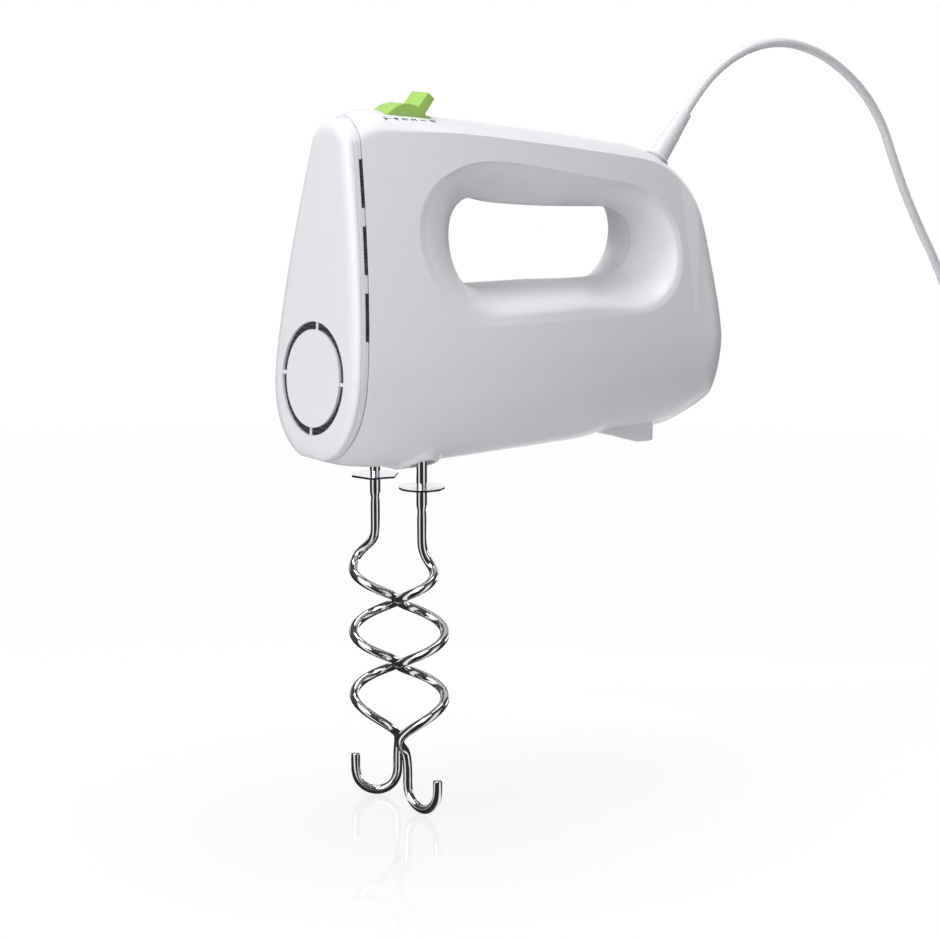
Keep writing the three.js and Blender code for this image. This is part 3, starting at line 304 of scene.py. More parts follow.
# ---- cord
FLOOR, CORD = -161.4, 2.2  # height of the floor, radius of the cord
RELIEF_AT, RELIEF_LENGTH, RELIEF_RISE = np.array([146.1, 0, 127.8]), 28.0, math.radians(50.8)
RELIEF_WAY = np.array([math.cos(RELIEF_RISE), 0, math.sin(RELIEF_RISE)])
RELIEF_TURN = tilt(math.pi / 2 - RELIEF_RISE)
COIL_X, COIL_Y, COIL_STEP = 390.0, -31.4, 4.65  # the coil's middle, rise from its first layer to its second
PLUG_X, PLUG_Y, PLUG_BEND = 440.0, -18.0, 19.0  # where the cord meets the plug, radius of the bend before it


def cord_line():
    """Out of the strain relief, over and down to the floor, four turns of coil, then to the plug."""
    tip = RELIEF_AT + RELIEF_WAY * RELIEF_LENGTH
    low = FLOOR + CORD
    hang = [(171.6, 158.6), (180.2, 166.8), (190.8, 173.6), (202.6, 178.4), (213.6, 180.6), (224.6, 180.8),
            (235.6, 178.9), (248.6, 174.5), (262, 167.1), (273.6, 158.2), (283, 148.2), (290.6, 137),
            (297.4, 122.6), (306, 105), (316.5, 87), (328.5, 68), (339.5, 47), (348, 24), (353, -2),
            (356, -34), (357, -66), (357, -98), (357, -120), (357.3, -136.2), (359, -145), (363.9, -152.5)]
    hang = [(x, 0, z) for x, z in hang] + [(371.4, -0.1, -157.4), (380, -0.7, low)]
    turn = np.linspace(0, 4, 65)
    lap = np.minimum(np.floor(turn).astype(int), 3)
    change = smoothstep(0.7, 1.0, turn - lap)
    radii, levels = np.array([[26.4, 21.75, 21.75, 26.4, 26.4], [0, 0, COIL_STEP, COIL_STEP, COIL_STEP]])
    radius = radii[lap] + (radii[lap + 1] - radii[lap]) * change
    height = levels[lap] + (levels[lap + 1] - levels[lap]) * change
    angle = np.pi / 2 - 2 * np.pi * turn
    coil = stacked(COIL_X + radius * np.cos(angle), COIL_Y + radius * np.sin(angle), low + height)
    x = np.linspace(396, 416, 4)
    tail = stacked(x, -5 + 6 * smoothstep(390, 421, x), low + COIL_STEP - 1.2 * smoothstep(396, 421, x))
    bend = np.radians([90, 72, 54, 36, 18, 0])
    rise = 4.55 - 1.1 * np.sin(bend) ** 2
    arc = stacked(PLUG_X - PLUG_BEND * (1 - np.cos(bend)), PLUG_Y + PLUG_BEND * np.sin(bend), low + rise)
    end = (PLUG_X, PLUG_Y - 5, low + 4.55)
    route = [tip, *hang, *coil[2:].tolist(), *tail.tolist(), *arc.tolist(), end]
    return even(spline(route, 10), 1.5)


CORD_LINE = cord_line()
cord = wire("mains_cord", CORD_LINE, CORD, (0, 1, 0.02), 24)
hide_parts("cord", "cord_coil", "cord_tail")


# ---- housing form
SEAM_X, SEAM_LEAN, SEAM_LOW, SEAM_HIGH = -45.6, 0.093, 5.0, 154.0
# Side-view lines as cubic knots with two handles between them: outer rim, lip and throat of the grip.
RIM = np.array([
    (SEAM_X + SEAM_LEAN * SEAM_HIGH, SEAM_HIGH), (-27, 156.6), (-21, 158.2), (-12, 157),
    (30, 151.8), (80, 144.6), (124, 136.8),
    (140, 133.8), (157, 124), (164.2, 104),
    (169, 88), (174.5, 66), (177.6, 46),
    (178.8, 34), (176, 19.8), (171, 13.3),
    (167.6, 9.6), (158, 6), (150, 3.2),
    (143, 0.9), (128, 1.5), (112, 2.3),
    (104, 2.6), (98, 1.2), (90, 0.8),
    (55, 0.2), (15, -1), (-8, -1.4),
    (-24, -1.2), (-36, 1), (SEAM_X + SEAM_LEAN * SEAM_LOW, SEAM_LOW)])
LIP = np.array([
    (-6.4, 101), (-6.4, 118), (6, 128.5), (20, 132.2), (30, 134.8), (38, 134.2), (52, 132),
    (75, 127.8), (98, 123), (112, 120.4), (131, 116.5), (141, 104), (141, 89),
    (141, 74), (130, 62.4), (112, 61.8), (85, 61.8), (50, 62.4), (27, 62.8),
    (8, 63.2), (-6.4, 84), (-6.4, 101)])
THROAT = np.array([
    (21.5, 95.5), (21.5, 106), (24, 113.5), (33, 115.8), (39, 116.9), (42, 114.4), (50, 113.2),
    (70, 110.4), (95, 108.8), (113, 108), (124, 107.2), (131.3, 100.5), (131.3, 92),
    (131.3, 83), (125, 76.2), (112, 75.6), (85, 75.4), (60, 76), (37, 76.6),
    (27, 77), (21.5, 84.5), (21.5, 95.5)])
GRIP = np.array([76.0, 95.0])  # middle of the grip opening
BELLY, BELLY_Z, GRIP_HALF, GRIP_Z = 33.4, 44.0, 17.2, 130.0  # half widths and their heights
BULGE, BULGE_X, BULGE_RUN = 6.4, 50.0, 95.0  # added half width, its middle and its reach along x
RIM_TOP, RIM_NOSE, RIM_BOTTOM = 6.0, 9.0, 34.0  # reach of the rim's rounding
FULLNESS, HEEL = 0.44, 0.18  # exponent of the rounding, and what the heel adds to it
WALL, SEAT, VENT = 2.2, 0.3, 3.4  # wall, gap between seated pieces, width of the vent band
FACE_X, FACE_LEAN, COVER_ROUND = -48.3, 0.081, 6.5  # the front's flat face, radius of the cover's edge
SHAFT_Z, SPINDLE_Y = 40.7, 19.0
HOLE, THIN = 5.8, 0.15  # radius of the spindle holes, least half width


def traced(outline, steps=40):
    """Points along a chain of cubic curves given as knots and handles."""
    t = (np.arange(steps) / steps)[None, :, None]
    a, b, c, d = (outline[k:len(outline) - 3 + k:3][:, None] for k in range(4))
    points = (1 - t) ** 3 * a + 3 * (1 - t) ** 2 * t * b + 3 * (1 - t) * t ** 2 * c + t ** 3 * d
    return np.concatenate([points.reshape(-1, 2), outline[-1:]])


RIM_FINE, LIP_FINE, THROAT_FINE = traced(RIM), traced(LIP), traced(THROAT)


def rim_depth(p):
    """Least distance from side-view points to the segments of the rim line."""
    a, edge = RIM_FINE[:-1], np.diff(RIM_FINE, axis=0)
    parts = []
    for q in np.array_split(p, len(p) // 4000 + 1):
        q = q[:, None] - a[None]
        t = np.clip((q * edge).sum(-1) / (edge * edge).sum(-1), 0, 1)
        parts.append(np.linalg.norm(q - t[..., None] * edge, axis=-1).min(1))
    return np.concatenate(parts)


def rim_reach(p, inset=0.0):
    """Depth over which the rim rounds off: large below, small along the top, a little more at the nose."""
    nose = (RIM_NOSE - RIM_TOP) * (1 - smoothstep(-30, 30, p[:, 0]))
    return RIM_BOTTOM + (RIM_TOP + nose - RIM_BOTTOM) * smoothstep(30, 130, p[:, 1]) - inset


def half_width(p, inset=0.0):
    """Flank half width times (q(1 + c(1 - q)))^f, where q is the depth below the rim over its reach."""
    p = np.asarray(p, float).reshape(-1, 2)
    x, z = p[:, 0], p[:, 1]
    rise = np.maximum(0, (z - BELLY_Z) / (GRIP_Z - BELLY_Z))
    flank = BELLY - (BELLY - GRIP_HALF) * rise ** 1.4
    flank = flank + BULGE * np.maximum(0, 1 - ((x - BULGE_X) / BULGE_RUN) ** 2)
    high = smoothstep(30, 130, z)
    rear = smoothstep(140, 165, x) * (1 - smoothstep(95, 125, z))
    c = 1 - high * (0.9 - 0.5 * (1 - smoothstep(-30, 30, x)) - 0.4 * rear)
    f = FULLNESS + 0.06 * high + HEEL * smoothstep(80, 150, x) * (1 - smoothstep(10, 60, z))
    q = np.clip((rim_depth(p) - inset) / rim_reach(p, inset), 0, 1)
    return (flank - inset) * (q * (1 + c * (1 - q))) ** f


def skin_height(x, y, top):
    """Height of the top or underside over plan points: halves the span where the half width passes |y|."""
    x, y = np.asarray(x, float).ravel(), np.abs(np.asarray(y, float)).ravel()
    rim = RIM_FINE[RIM_FINE[:, 1] > 130] if top else RIM_FINE[RIM_FINE[:, 1] < 8][::-1]
    outside = np.interp(x, rim[:, 0], rim[:, 1])
    inside = outside + (-16 if top else 30)
    for _ in range(24):
        middle = (inside + outside) / 2
        wide = half_width(stacked(x, middle)) > y
        inside, outside = np.where(wide, middle, inside), np.where(wide, outside, middle)
    return inside


def seam_x(z, back=0.0):
    """The front seam leans back with height."""
    return SEAM_X + SEAM_LEAN * z + back


def crossing(outline, p):
    """Where rays from the grip's middle through points cross a closed outline, by cross products."""
    way = unit(p - GRIP)
    a, edge = outline[None, :-1] - GRIP, np.diff(outline, axis=0)[None]
    turn = way[:, None, 0] * edge[..., 1] - way[:, None, 1] * edge[..., 0]
    turn = np.where(np.abs(turn) < 1e-9, 1e-9, turn)
    reach = (a[..., 0] * edge[..., 1] - a[..., 1] * edge[..., 0]) / turn
    share = (a[..., 0] * way[:, None, 1] - a[..., 1] * way[:, None, 0]) / turn
    good = (reach > 0) & (share >= -1e-6) & (share <= 1 + 1e-6)
    pick = np.argmax(np.where(good, reach, -1), 1)
    return GRIP + way * reach[np.arange(len(p)), pick][:, None], way


def outer_loop(inset, front):
    """Side-view loop: the rim line moved in, then up the front plane."""
    rim = even(RIM_FINE, 1.1)
    way = heading(rim)
    rim = rim + stacked(way[:, 1], -way[:, 0]) * inset
    rim[:, 0] = np.maximum(rim[:, 0], seam_x(rim[:, 1], front))
    rim[[0, -1], 0] = seam_x(rim[[0, -1], 1], front)
    z = np.linspace(rim[-1, 1], rim[0, 1], 110)[1:-1]
    return np.concatenate([rim, stacked(seam_x(z, front), z)])


def flank_rings(inset, front, rim_rows, rows, flare_rows):
    """Rows of one half: the rim's rounding, the flank to the lip, a bevel, and the flare to the throat.

    The flare is a superellipse: in by sin(t)^(2/n), across by cos(t)^(2/n).
    """
    loop = outer_loop(inset, front)
    lip, way = crossing(LIP_FINE, loop)
    throat = crossing(THROAT_FINE, loop)[0] + way * inset
    lip = lip + way * inset
    t = np.linspace(0, 1, 121)
    ray = loop[:, None] + (lip - loop)[:, None] * t[None, :, None]
    flat = ray.reshape(-1, 2)
    q = ((rim_depth(flat) - inset) / rim_reach(flat, inset)).reshape(ray.shape[:2])
    first = np.where((q >= 1).any(1), (q >= 1).argmax(1), len(t) - 1)
    before, n = np.maximum(first - 1, 0), np.arange(len(loop))
    gain = np.maximum(q[n, first] - q[n, before], 1e-6)
    crease = np.clip(t[before] + (1 - q[n, before]) / gain * (t[first] - t[before]), 0.12, 0.9)
    shares = [crease * s ** 2 for s in np.linspace(0, 1, rim_rows)]
    shares += [crease + (1 - crease) * s for s in np.linspace(0, 1, rows)[1:]]
    rings = []
    for share in shares:
        p = loop + (lip - loop) * share[:, None]
        rings.append(stacked(p[:, 0], np.maximum(half_width(p, inset), THIN), p[:, 1]))
    run = throat - lip
    edge = lip + run * np.minimum(0.4, 2.6 / np.linalg.norm(run, axis=1))[:, None]
    deep = half_width(lip, inset) - 0.9
    power = 2 / (2 - 0.7 * smoothstep(0.2, 0.9, way[:, 0]))
    for turn in np.linspace(0, np.pi / 2, flare_rows):
        p = edge + (throat - edge) * (math.sin(turn) ** power)[:, None]
        rings.append(stacked(p[:, 0], np.maximum(deep * max(0.0, math.cos(turn)) ** power, THIN), p[:, 1]))
    return rings


def rod(name, radius, z0, z1, at, turn=np.identity(3)):
    """Plain round cutting tool along Z."""
    return revolve(name, [(0, z0), (radius, z0), (radius, z1), (0, z1)], 64, at, turn)


def housing(side, name, node):
    """One housing half: outer and inner rows joined in a ring, its slot and holes cut."""
    front = VENT + 2 * SEAT
    grid = np.array(flank_rings(0, front, 16, 34, 22) + flank_rings(WALL, front, 8, 12, 9)[::-1])
    grid[..., 1] *= side
    piece = grid_mesh(name, grid, ring=True)
    cut(piece, box_mesh("slot_tool", (-10.7, -7.1, 146.4), (14.6, 7.1, 170)),
        rod("relief_tool", 4.6, -12, 8, RELIEF_AT, RELIEF_TURN),
        rod("spindle_tool", HOLE, -12, 16, (0, side * SPINDLE_Y, 0)))
    return stand_in(piece, 34, node)


def rest_foot(side, name):
    """Wedge under the rear: a side profile cut off across by x <= centre + 1.35 sqrt(r^2 - y^2)."""
    rear, low, half, middle = 136.0, -2.3, 5.0, 11.5
    side_view = [(rear - 43, low + 9.8), (rear - 11.6, low), (rear, low), (rear, low + 9.8)]
    line = rounded(side_view, [0.3, 2.6, 0.7, 0.3], 8)
    y = -half * np.cos(np.linspace(0.02, np.pi - 0.02, 61))[:, None]
    limit = rear + 1.35 * (np.sqrt(half * half - y * y) - half)
    piece = grid_mesh(name, stacked(np.minimum(line[:, 0], limit), y + side * middle, line[:, 1]))
    crisp(piece, 30)
    return piece


def spindle_boss():
    """Oval boss round both spindle holes: rows of a stadium, its root flared into the skin.

    The face lies at -3.7 + y^2 / 91, and the ends of each row reach SPINDLE_Y further by |sin|^0.15.
    """
    angle = full_turn(240) + np.pi / 240
    face = [(0.02, 0), (3, 0), (6, 0), (7.7, 0.02), (8.3, 0.12), (8.7, 0.38), (8.92, 0.8)]
    root = [(9.15, -1.3), (9.35, -0.85), (9.75, -0.45), (10.4, -0.18), (11.4, -0.03), (12.6, 0.15),
            (12.6, 5), (0.02, 5)]
    radius, level = np.array(face + root).T[..., None]
    x = radius * np.cos(angle)
    y = radius * np.sin(angle) + signed_power(np.sin(angle), 0.15) * SPINDLE_Y
    bulge, n = y * y / 91, len(face)
    z = -3.7 + bulge + level
    z[n:] = skin_height(x[n:], y[n:], False).reshape(-1, len(angle)) + level[n:]
    z[-2:] = 6 + bulge[-2:]
    piece = grid_mesh("spindle_boss", stacked(x, y, z), ring=True)
    cut(piece, *[rod(f"hole_{side}", HOLE, -12, 30, (0, side * SPINDLE_Y, 0)) for side in (-1, 1)])
    crisp(piece, 38)
    return piece


# ---- front cover and vent frame
def seam_ring(inset, back, count=110):
    """Outline of the housing, moved in by an inset, in the seam's leaning plane; heights go by 1 - cos."""
    low, high = SEAM_LOW + inset, SEAM_HIGH - inset
    z = low + (high - low) * (1 - np.cos(np.pi * np.arange(count + 1) / count)) / 2
    y = half_width(stacked(seam_x(z, 2), z), inset)
    y[[0, -1]] = 0
    ring = np.concatenate([stacked(y, z), stacked(-y, z)[-2:0:-1]])
    return stacked(seam_x(ring[:, 1], back), *ring.T)


def cover_rings(inset, back, rows):
    """Rings from the seam over the rounded edge (a quarter ellipse), then shrinking to the face's middle."""
    rings = [seam_ring(inset, back)]
    for turn in np.linspace(0, np.pi / 2, rows)[1:]:
        ring = seam_ring(inset + (COVER_ROUND - inset / 2) * (1 - math.cos(turn)), back)
        face = np.minimum(FACE_X + FACE_LEAN * ring[:, 2] + inset, ring[:, 0] - 0.5)
        ring[:, 0] += (face - ring[:, 0]) * math.sin(turn)
        rings.append(ring)
    middle = np.array([0, 70.0])
    for share in (0.93, 0.8, 0.62, 0.42, 0.2, 0.0):
        flat = middle + (rings[rows - 1][:, 1:] - middle) * share
        rings.append(stacked(FACE_X + FACE_LEAN * flat[:, 1] + inset, *flat.T))
    return rings


def on_face(angle, r, depth):
    """Points at an angle and radius round the motor's axis in the plane of the face, a depth behind it."""
    up = np.array([FACE_LEAN, 0, 1]) / math.hypot(1, FACE_LEAN)
    into = np.array([1, 0, -FACE_LEAN]) / math.hypot(1, FACE_LEAN)
    centre = np.array([FACE_X + FACE_LEAN * SHAFT_Z, 0, SHAFT_Z])
    angle, r, depth = (v[..., None] for v in np.broadcast_arrays(angle, r, depth))
    return centre + r * np.cos(angle) * np.array([0, 1, 0]) + r * np.sin(angle) * up + depth * into


def ring_section(name, outline, start=0, end=2 * np.pi, count=49):
    """Outline of (radius, depth) pairs carried round the face from one angle to another."""
    r, depth = np.array(outline, float).T
    angle = np.linspace(start, end, count)[:, None]
    closed = end - start > 6.28
    return grid_mesh(name, on_face(angle[:-1] if closed else angle, r, depth), ring=closed)


def four_arcs(name, outline, gap):
    """A section in each quarter of the face, its ends an angle short of the quarter's."""
    starts = np.arange(4) * np.pi / 2
    return [ring_section(f"{name}_{k}", outline, a + gap, a + np.pi / 2 - gap) for k, a in enumerate(starts)]


def front_cover():
    """Shell behind the flat face; the ring groove is sunk all round and cut through in four arcs."""
    inner = cover_rings(WALL, -SEAT / 2, 6)
    piece = grid_mesh("cover_shell", cover_rings(0, -SEAT / 2, 16) + inner[::-1], ring=True)
    cut(piece, *four_arcs("arc", oblong(21.6, 25.1, -9, 6), 0.032),
        ring_section("groove", oblong(21.66, 25.04, -9, 0.75), count=145))
    return stand_in(piece, 30, "front_cover")


def slot_filter():
    """Flat mesh ring behind the cover, with four raised arcs that stand in the ring slot."""
    piece = ring_section("filter_ring", rounded(oblong(20.1, 26.6, 2.5, 3.7), 0.2, 3), count=97)
    merge(piece, *four_arcs("raised", rounded(oblong(21.8, 24.9, 1.0, 2.8), 0.15, 3), 0.045))
    return stand_in(piece, 40, "slot_filter")


def vent_frame():
    """Band between cover and housing: rounded outside, a flange and a spigot, with three slots a side, and
    behind each slot a dark strip of painted shade.
    """
    spigot, edge, rear = WALL + 4 * SEAT, 0.35, VENT + SEAT / 2
    rows = [(edge, SEAT / 2), (0, SEAT / 2 + edge), (0, rear - edge), (edge, rear),
            (spigot, rear), (spigot, 8), (spigot + 2, 8), (spigot + 2, SEAT / 2)]
    piece = grid_mesh("vent_band", [seam_ring(inset, back) for inset, back in rows], ring=True)
    turn, length, pitch, top = tilt(math.atan(SEAM_LEAN)), 20.7, 28.4, 137.5
    shade_liners, half = [], length / 2
    for k in range(3):
        middle = top - pitch * k - half
        at = np.array([seam_x(middle, rear - 1.7), 0, middle])
        cut(piece, box_mesh(f"vent_tool_{k}", (0, -60, -half), (6.7, 60, half), turn=turn, at=at))
        # dark strips inside the slots on both sides: painted shade for the dark inside of the vents
        shade_liners += [vent_shade_liner(f"vent_shade_liner_{k}_{side}", side, middle, at, turn) for side in (-1, 1)]
    cut(piece, rod("seat_tool", 26.9, -60, -20, (0, 0, SHAFT_Z), tilt(math.pi / 2)))
    merge(*shade_liners).name = "vent_shade_liner"
    return stand_in(piece, 30, "vent_frame"), shade_liners[0]


def vent_shade_liner(name, side, middle, at, turn):
    """Dark strip set a little inside each slot, following the flank: painted shade that stands for the dark
    inside of the slot.
    """
    x, deep = np.array(oblong(-0.4, 2.3, 0, 0.4)).T
    z = np.linspace(-10.9, 10.9, 24)[:, None]
    y = half_width(stacked(seam_x(middle + z, 2), middle + z))[:, None] - 0.45
    return grid_mesh(name, stacked(x, side * (y - deep), z) @ turn.T + at)


# ---- speed switch
DRUM, DRUM_RADIUS = np.array([0.7, 146.4]), 13.4  # the axle seen from the side, radius


def speed_switch():
    """Outline of drum and tab, its rows moved in by r(1 - sin t) towards each side for soft edges."""
    lean, reach, soft, half = math.radians(50), 21.5, 0.45, 6.5
    root, tip = math.asin(2.6 / DRUM_RADIUS), math.asin(2.3 / reach)
    arc = np.linspace(lean + root, lean - root + 2 * np.pi, 220)
    drum = stacked(np.cos(arc), np.sin(arc)) * DRUM_RADIUS
    corners = np.array([(math.cos(a), math.sin(a)) for a in (lean - tip, lean + tip)]) * reach
    tab = rounded(np.concatenate([drum[-1:], corners, drum[:1]]), [0.0, 0.5, 0.5, 0.0], 6)[6:-6]
    outline = np.concatenate([drum, tab])
    way = unit(np.roll(outline, -1, 0) - np.roll(outline, 1, 0))
    turn = np.linspace(0, np.pi / 2, 6)
    rows = stacked(soft * (1 - np.cos(turn)) - half, soft * (1 - np.sin(turn)))
    rows = np.concatenate([rows, rows[::-1] * (-1, 1)])
    flat = outline + stacked(-way[:, 1], way[:, 0]) * rows[:, 1, None, None] + DRUM
    grid = stacked(flat[..., 0], rows[:, :1], flat[..., 1])
    piece = grid_mesh("switch_wheel", grid, body="switch")
    cut(piece, rod("axle_tool", 1.8, -20, 20, (DRUM[0], 0, DRUM[1]), [[1, 0, 0], [0, 0, 1], [0, -1, 0]]))
    return stand_in(piece, 35, "speed_switch")


def marker_dot():
    """Shallow dot on the drum's crown, a disc bent to the drum."""
    angle, size, crown, across = full_turn(32), 0.75, math.radians(97), 2.4
    rows = []
    for share, lift in ((0, 0.06), (0.7, 0.06), (1, 0.0), (1, -0.15), (0, -0.15)):
        turn, out = crown + size * share * np.cos(angle) / DRUM_RADIUS, DRUM_RADIUS + lift
        x, z = DRUM[0] + out * np.cos(turn), DRUM[1] + out * np.sin(turn)
        rows.append(stacked(x, across + size * share * np.sin(angle), z))
    return grid_mesh("switch_dot", rows, ring=True, body="switch")


def dial_marks():
    """Speed marks read from behind the mixer, each glyph laid on the top surface."""
    pieces, size, across = [], 3.8, -10.1
    for mark, x in zip("T43210", (-11.4, -6.6, -2.1, 2.6, 7.5, 12.7)):
        data = bpy.data.curves.new("mark", "FONT")
        data.body, data.size, data.offset = mark, 1.0, 0.02
        data.align_x, data.align_y = "CENTER", "CENTER"
        text = added("mark", data)
        graph = bpy.context.evaluated_depsgraph_get()
        mesh = bpy.data.meshes.new_from_object(text.evaluated_get(graph))
        bpy.data.objects.remove(text)
        flat = np.empty(len(mesh.vertices) * 3)
        mesh.vertices.foreach_get("co", flat)
        flat = flat.reshape(-1, 3) * size
        px, py = x - flat[:, 1], across + flat[:, 0] * 0.95
        mesh.vertices.foreach_set("co", metres(stacked(px, py, skin_height(px, py, True) + 0.1)).ravel())
        pieces.append(added(f"dial_{mark}", mesh))
    whole = merge(*pieces)
    whole.name, whole["rides"] = "dial_marks", "body"
    return whole


# ---- strain relief, tie and plug
def strain_relief():
    """Tapered sleeve turned about the cord's exit direction, a flange at its foot and a lip at its end."""
    profile = [(2.45, -7), (6.5, -7), (6.5, -4.2), (4.3, -4.2), (4.3, 0.9), (5.7, 1.0), (5.9, 1.5),
               (5.6, 2.0), (5.05, 2.3), (4.85, 3.2), (4.55, 8), (4.2, 14), (3.75, 20), (3.4, 25),
               (3.34, 26.6), (3.25, 27.7), (2.95, 28), (2.45, 28)]
    return stand_in(revolve("relief_sleeve", profile, 72, RELIEF_AT, RELIEF_TURN), 40, "strain_relief")


def cord_tie():
    """Strap over the coil: a rounded arch of even thickness, 6 wide."""
    y, top, half = COIL_Y - 24, FLOOR + 10.6, 6.2
    start, end = (y - half, FLOOR), (y + half, FLOOR)
    arch = rounded([start, (y - half, top), (y + half, top), end], [0, 3, 3, 0], 10)
    arch = np.concatenate([[start], even(arch[10:30], 0.5), [end]])
    way = heading(arch)
    inward = stacked(way[:, 1], -way[:, 0])
    x, deep = rounded(oblong(-3, 3, 0, 1), 0.3, 4).T
    flat = arch[:, None] + inward[:, None] * deep[:, None]
    piece = grid_mesh("coil_strap", stacked(COIL_X + x, flat[..., 0], flat[..., 1]))
    return stand_in(piece, 40, "cord_tie")


PLUG_LENGTH, PLUG_Z = 36.0, FLOOR + 6.75


def plug_body():
    """Flat plug: sections |cos|^n across and |sin|^n up that widen from the cord to the pins."""
    s = np.concatenate([np.linspace(0, PLUG_LENGTH, 60), [PLUG_LENGTH]])
    grow = smoothstep(6, 27, s)
    end = np.sqrt(np.clip(1 - ((s - 34.8) / 1.2).clip(0, 1) ** 2, 0.0, 1)) * 0.06 + 0.94
    end[-1] = 0.9
    start = np.sqrt(1 - (1 - np.minimum(s / 0.8, 1)) ** 2) * 0.2 + 0.8
    half_w, half_h = (3.5 + 14 * grow) * end * start, (3.6 + 3.15 * smoothstep(2, 18, s)) * end * start
    angle = full_turn(96)
    n = (2 / (2 + 4 * grow))[:, None]
    x = PLUG_X + half_w[:, None] * signed_power(np.cos(angle), n)
    z = PLUG_Z + half_h[:, None] * signed_power(np.sin(angle), n)
    return stand_in(grid_mesh("plug_shell", stacked(x, PLUG_Y - s[:, None], z)), 45, "plug_body")


def plug_pin(side, name, node):
    """Round pin with a domed end, and the insulating sleeve over its first half."""
    root = (PLUG_X + side * 9.5, PLUG_Y - PLUG_LENGTH - 0.3, PLUG_Z)
    place = (40, root, [[1, 0, 0], [0, 0, -1], [0, 1, 0]])
    dome = [(2 * math.cos(t), 17.1 + 1.9 * math.sin(t)) for t in np.linspace(0, np.pi / 2, 8)[:-1]]
    pin = revolve(name, [(0, 0), (1.9, 0), (1.9, 9.9), (2, 10.1), *dome, (0, 19)], *place)
    sleeve = revolve(f"{name}_sleeve", [(1.91, 0), (2.0, 0), (2.0, 9.9), (1.91, 10)], *place)
    return stand_in(pin, 40, node), sleeve


# ---- dough hooks
WIRE = np.array([(-26, 2.3), (-25, 2.4), (16.6, 2.4), (17.6, 2.4), (18.6, 2.36), (20, 2.0), (21, 1.92),
                 (22.4, 2.04), (24, 2.1)])  # depth below the mixer, wire radius


def upright(high, low, count):
    """Points straight down the axis."""
    return stacked(0.0, 0.0, np.linspace(high, low, count))


def hook(name, node, y, hand, level, end_angle, start, run, free, tip_height):
    """Shank, then wire on a helix that ends in an upturned hook.

    The helix turns by hand 2 pi (h - level) / pitch while h falls evenly; its radius grows smoothly over
    the run, its height falls 6 ((low - h) / half pitch)^2 further below the last full turn, and above the
    level a turn past free goes on by no more than give, as give (1 - exp(-(turn - free) / give)).
    """
    pitch, radius, bend, end_radius, phase, give = 29.8, 10.4, -149.5, 9.8, 145, 0.8
    low = level - pitch * (1.5 if hand > 0 else 2)
    last = level - pitch * (2 + (phase - end_angle) * hand % 360 / 360)
    h = start - np.arange(0, 140, 0.5)
    h = h[h > last]
    turn = (h - level) * 2 * np.pi / pitch
    turn = np.where(turn > free, free + give * (1 - np.exp(-(turn - free) / give)), turn)
    angle = math.radians(phase) + hand * turn
    r = radius * smoothstep(0, run, start - h)
    z = h - 6 * (np.maximum(0, low - h) / (pitch / 2)) ** 2
    helix = stacked(r * np.cos(angle), r * np.sin(angle), z)
    end = math.radians(end_angle)
    out = np.array([math.cos(end), math.sin(end), 0])
    turn = np.linspace(0, np.pi, 33)
    foot = out * (end_radius * np.cos(turn))[:, None]
    foot[:, 2] = bend - end_radius * np.sin(turn)
    before = [out * end_radius + (0, 0, min(z[-1] - 5, bend + 8))]
    tip = [-out * end_radius + (0, 0, bend + tip_height)]
    route = np.concatenate([upright(-22, start + 0.5, 30), helix[::4], before, foot, tip])
    line = np.concatenate([upright(25.4, -21.6, 61), eased(even(spline(route, 12), 0.7))])
    size = np.interp(-line[:, 2], *WIRE.T)
    piece = wire(name, line + (0, y, 0), size, np.cross(out, (0, 0, 1.0)), 28, f"dough_{node}")
    merge(piece, box_mesh("ears", (-3.4, y - 0.65, 12), (3.4, y + 0.65, 22), 0.25))
    return stand_in(piece, 50, node)


def collar(name, node, y, outline):
    """Thin plate at a height, its edge rounded, following an outline given as radius by angle."""
    height, bore, small = -10, 2.45, outline - 0.14
    rows = [(bore, -0.5), (small, -0.5), (outline, -0.4), (outline, 0.4), (small, 0.5), (bore, 0.5)]
    angle = full_turn(len(outline))
    grid = [stacked(r * np.cos(angle), y + r * np.sin(angle), height + z) for r, z in rows]
    return stand_in(grid_mesh(name, grid, ring=True, body=f"dough_{node[:-7]}"), 25, node)


def hexagon(radius, turn, count=240):
    """Radius by angle of a hexagon, r cos 30 / cos(angle from a flat's middle), held to 98.8% of r."""
    sixth = np.pi / 6
    part = sixth - np.abs((full_turn(count) - turn + sixth) % (2 * sixth) - sixth)
    return np.minimum(radius * math.cos(sixth) / np.cos(part), radius * 0.988)


shells = [housing(-1, "shell_left", "housing_left"), housing(1, "shell_right", "housing_right"),
          rest_foot(-1, "rest_foot_left"), rest_foot(1, "rest_foot_right"), spindle_boss()]
cover = front_cover()
# the second piece is the dark strips of painted shade inside the vent slots
vents, painted_shade_liner = vent_frame()
filter_ring = slot_filter()
switch, dot, marks = speed_switch(), marker_dot(), dial_marks()
relief, tie, plug = strain_relief(), cord_tie(), plug_body()
pin_left, sleeve_left = plug_pin(-1, "prong_left", "plug_pin_left")
pin_right, sleeve_right = plug_pin(1, "prong_right", "plug_pin_right")
hooks = [hook("dough_wire_left", "hook_left", -SPINDLE_Y, 1, -62, 100, -35, 25, math.pi, 5.4),
         hook("dough_wire_right", "hook_right", SPINDLE_Y, -1, -53.4, -35, -37.2, 12.5, 0, 7.4)]
collars = [collar("plate_left", "hook_left_collar", -SPINDLE_Y, np.full(180, 10.25)),
           collar("plate_right", "hook_right_collar", SPINDLE_Y, hexagon(11.3, math.radians(47)))]


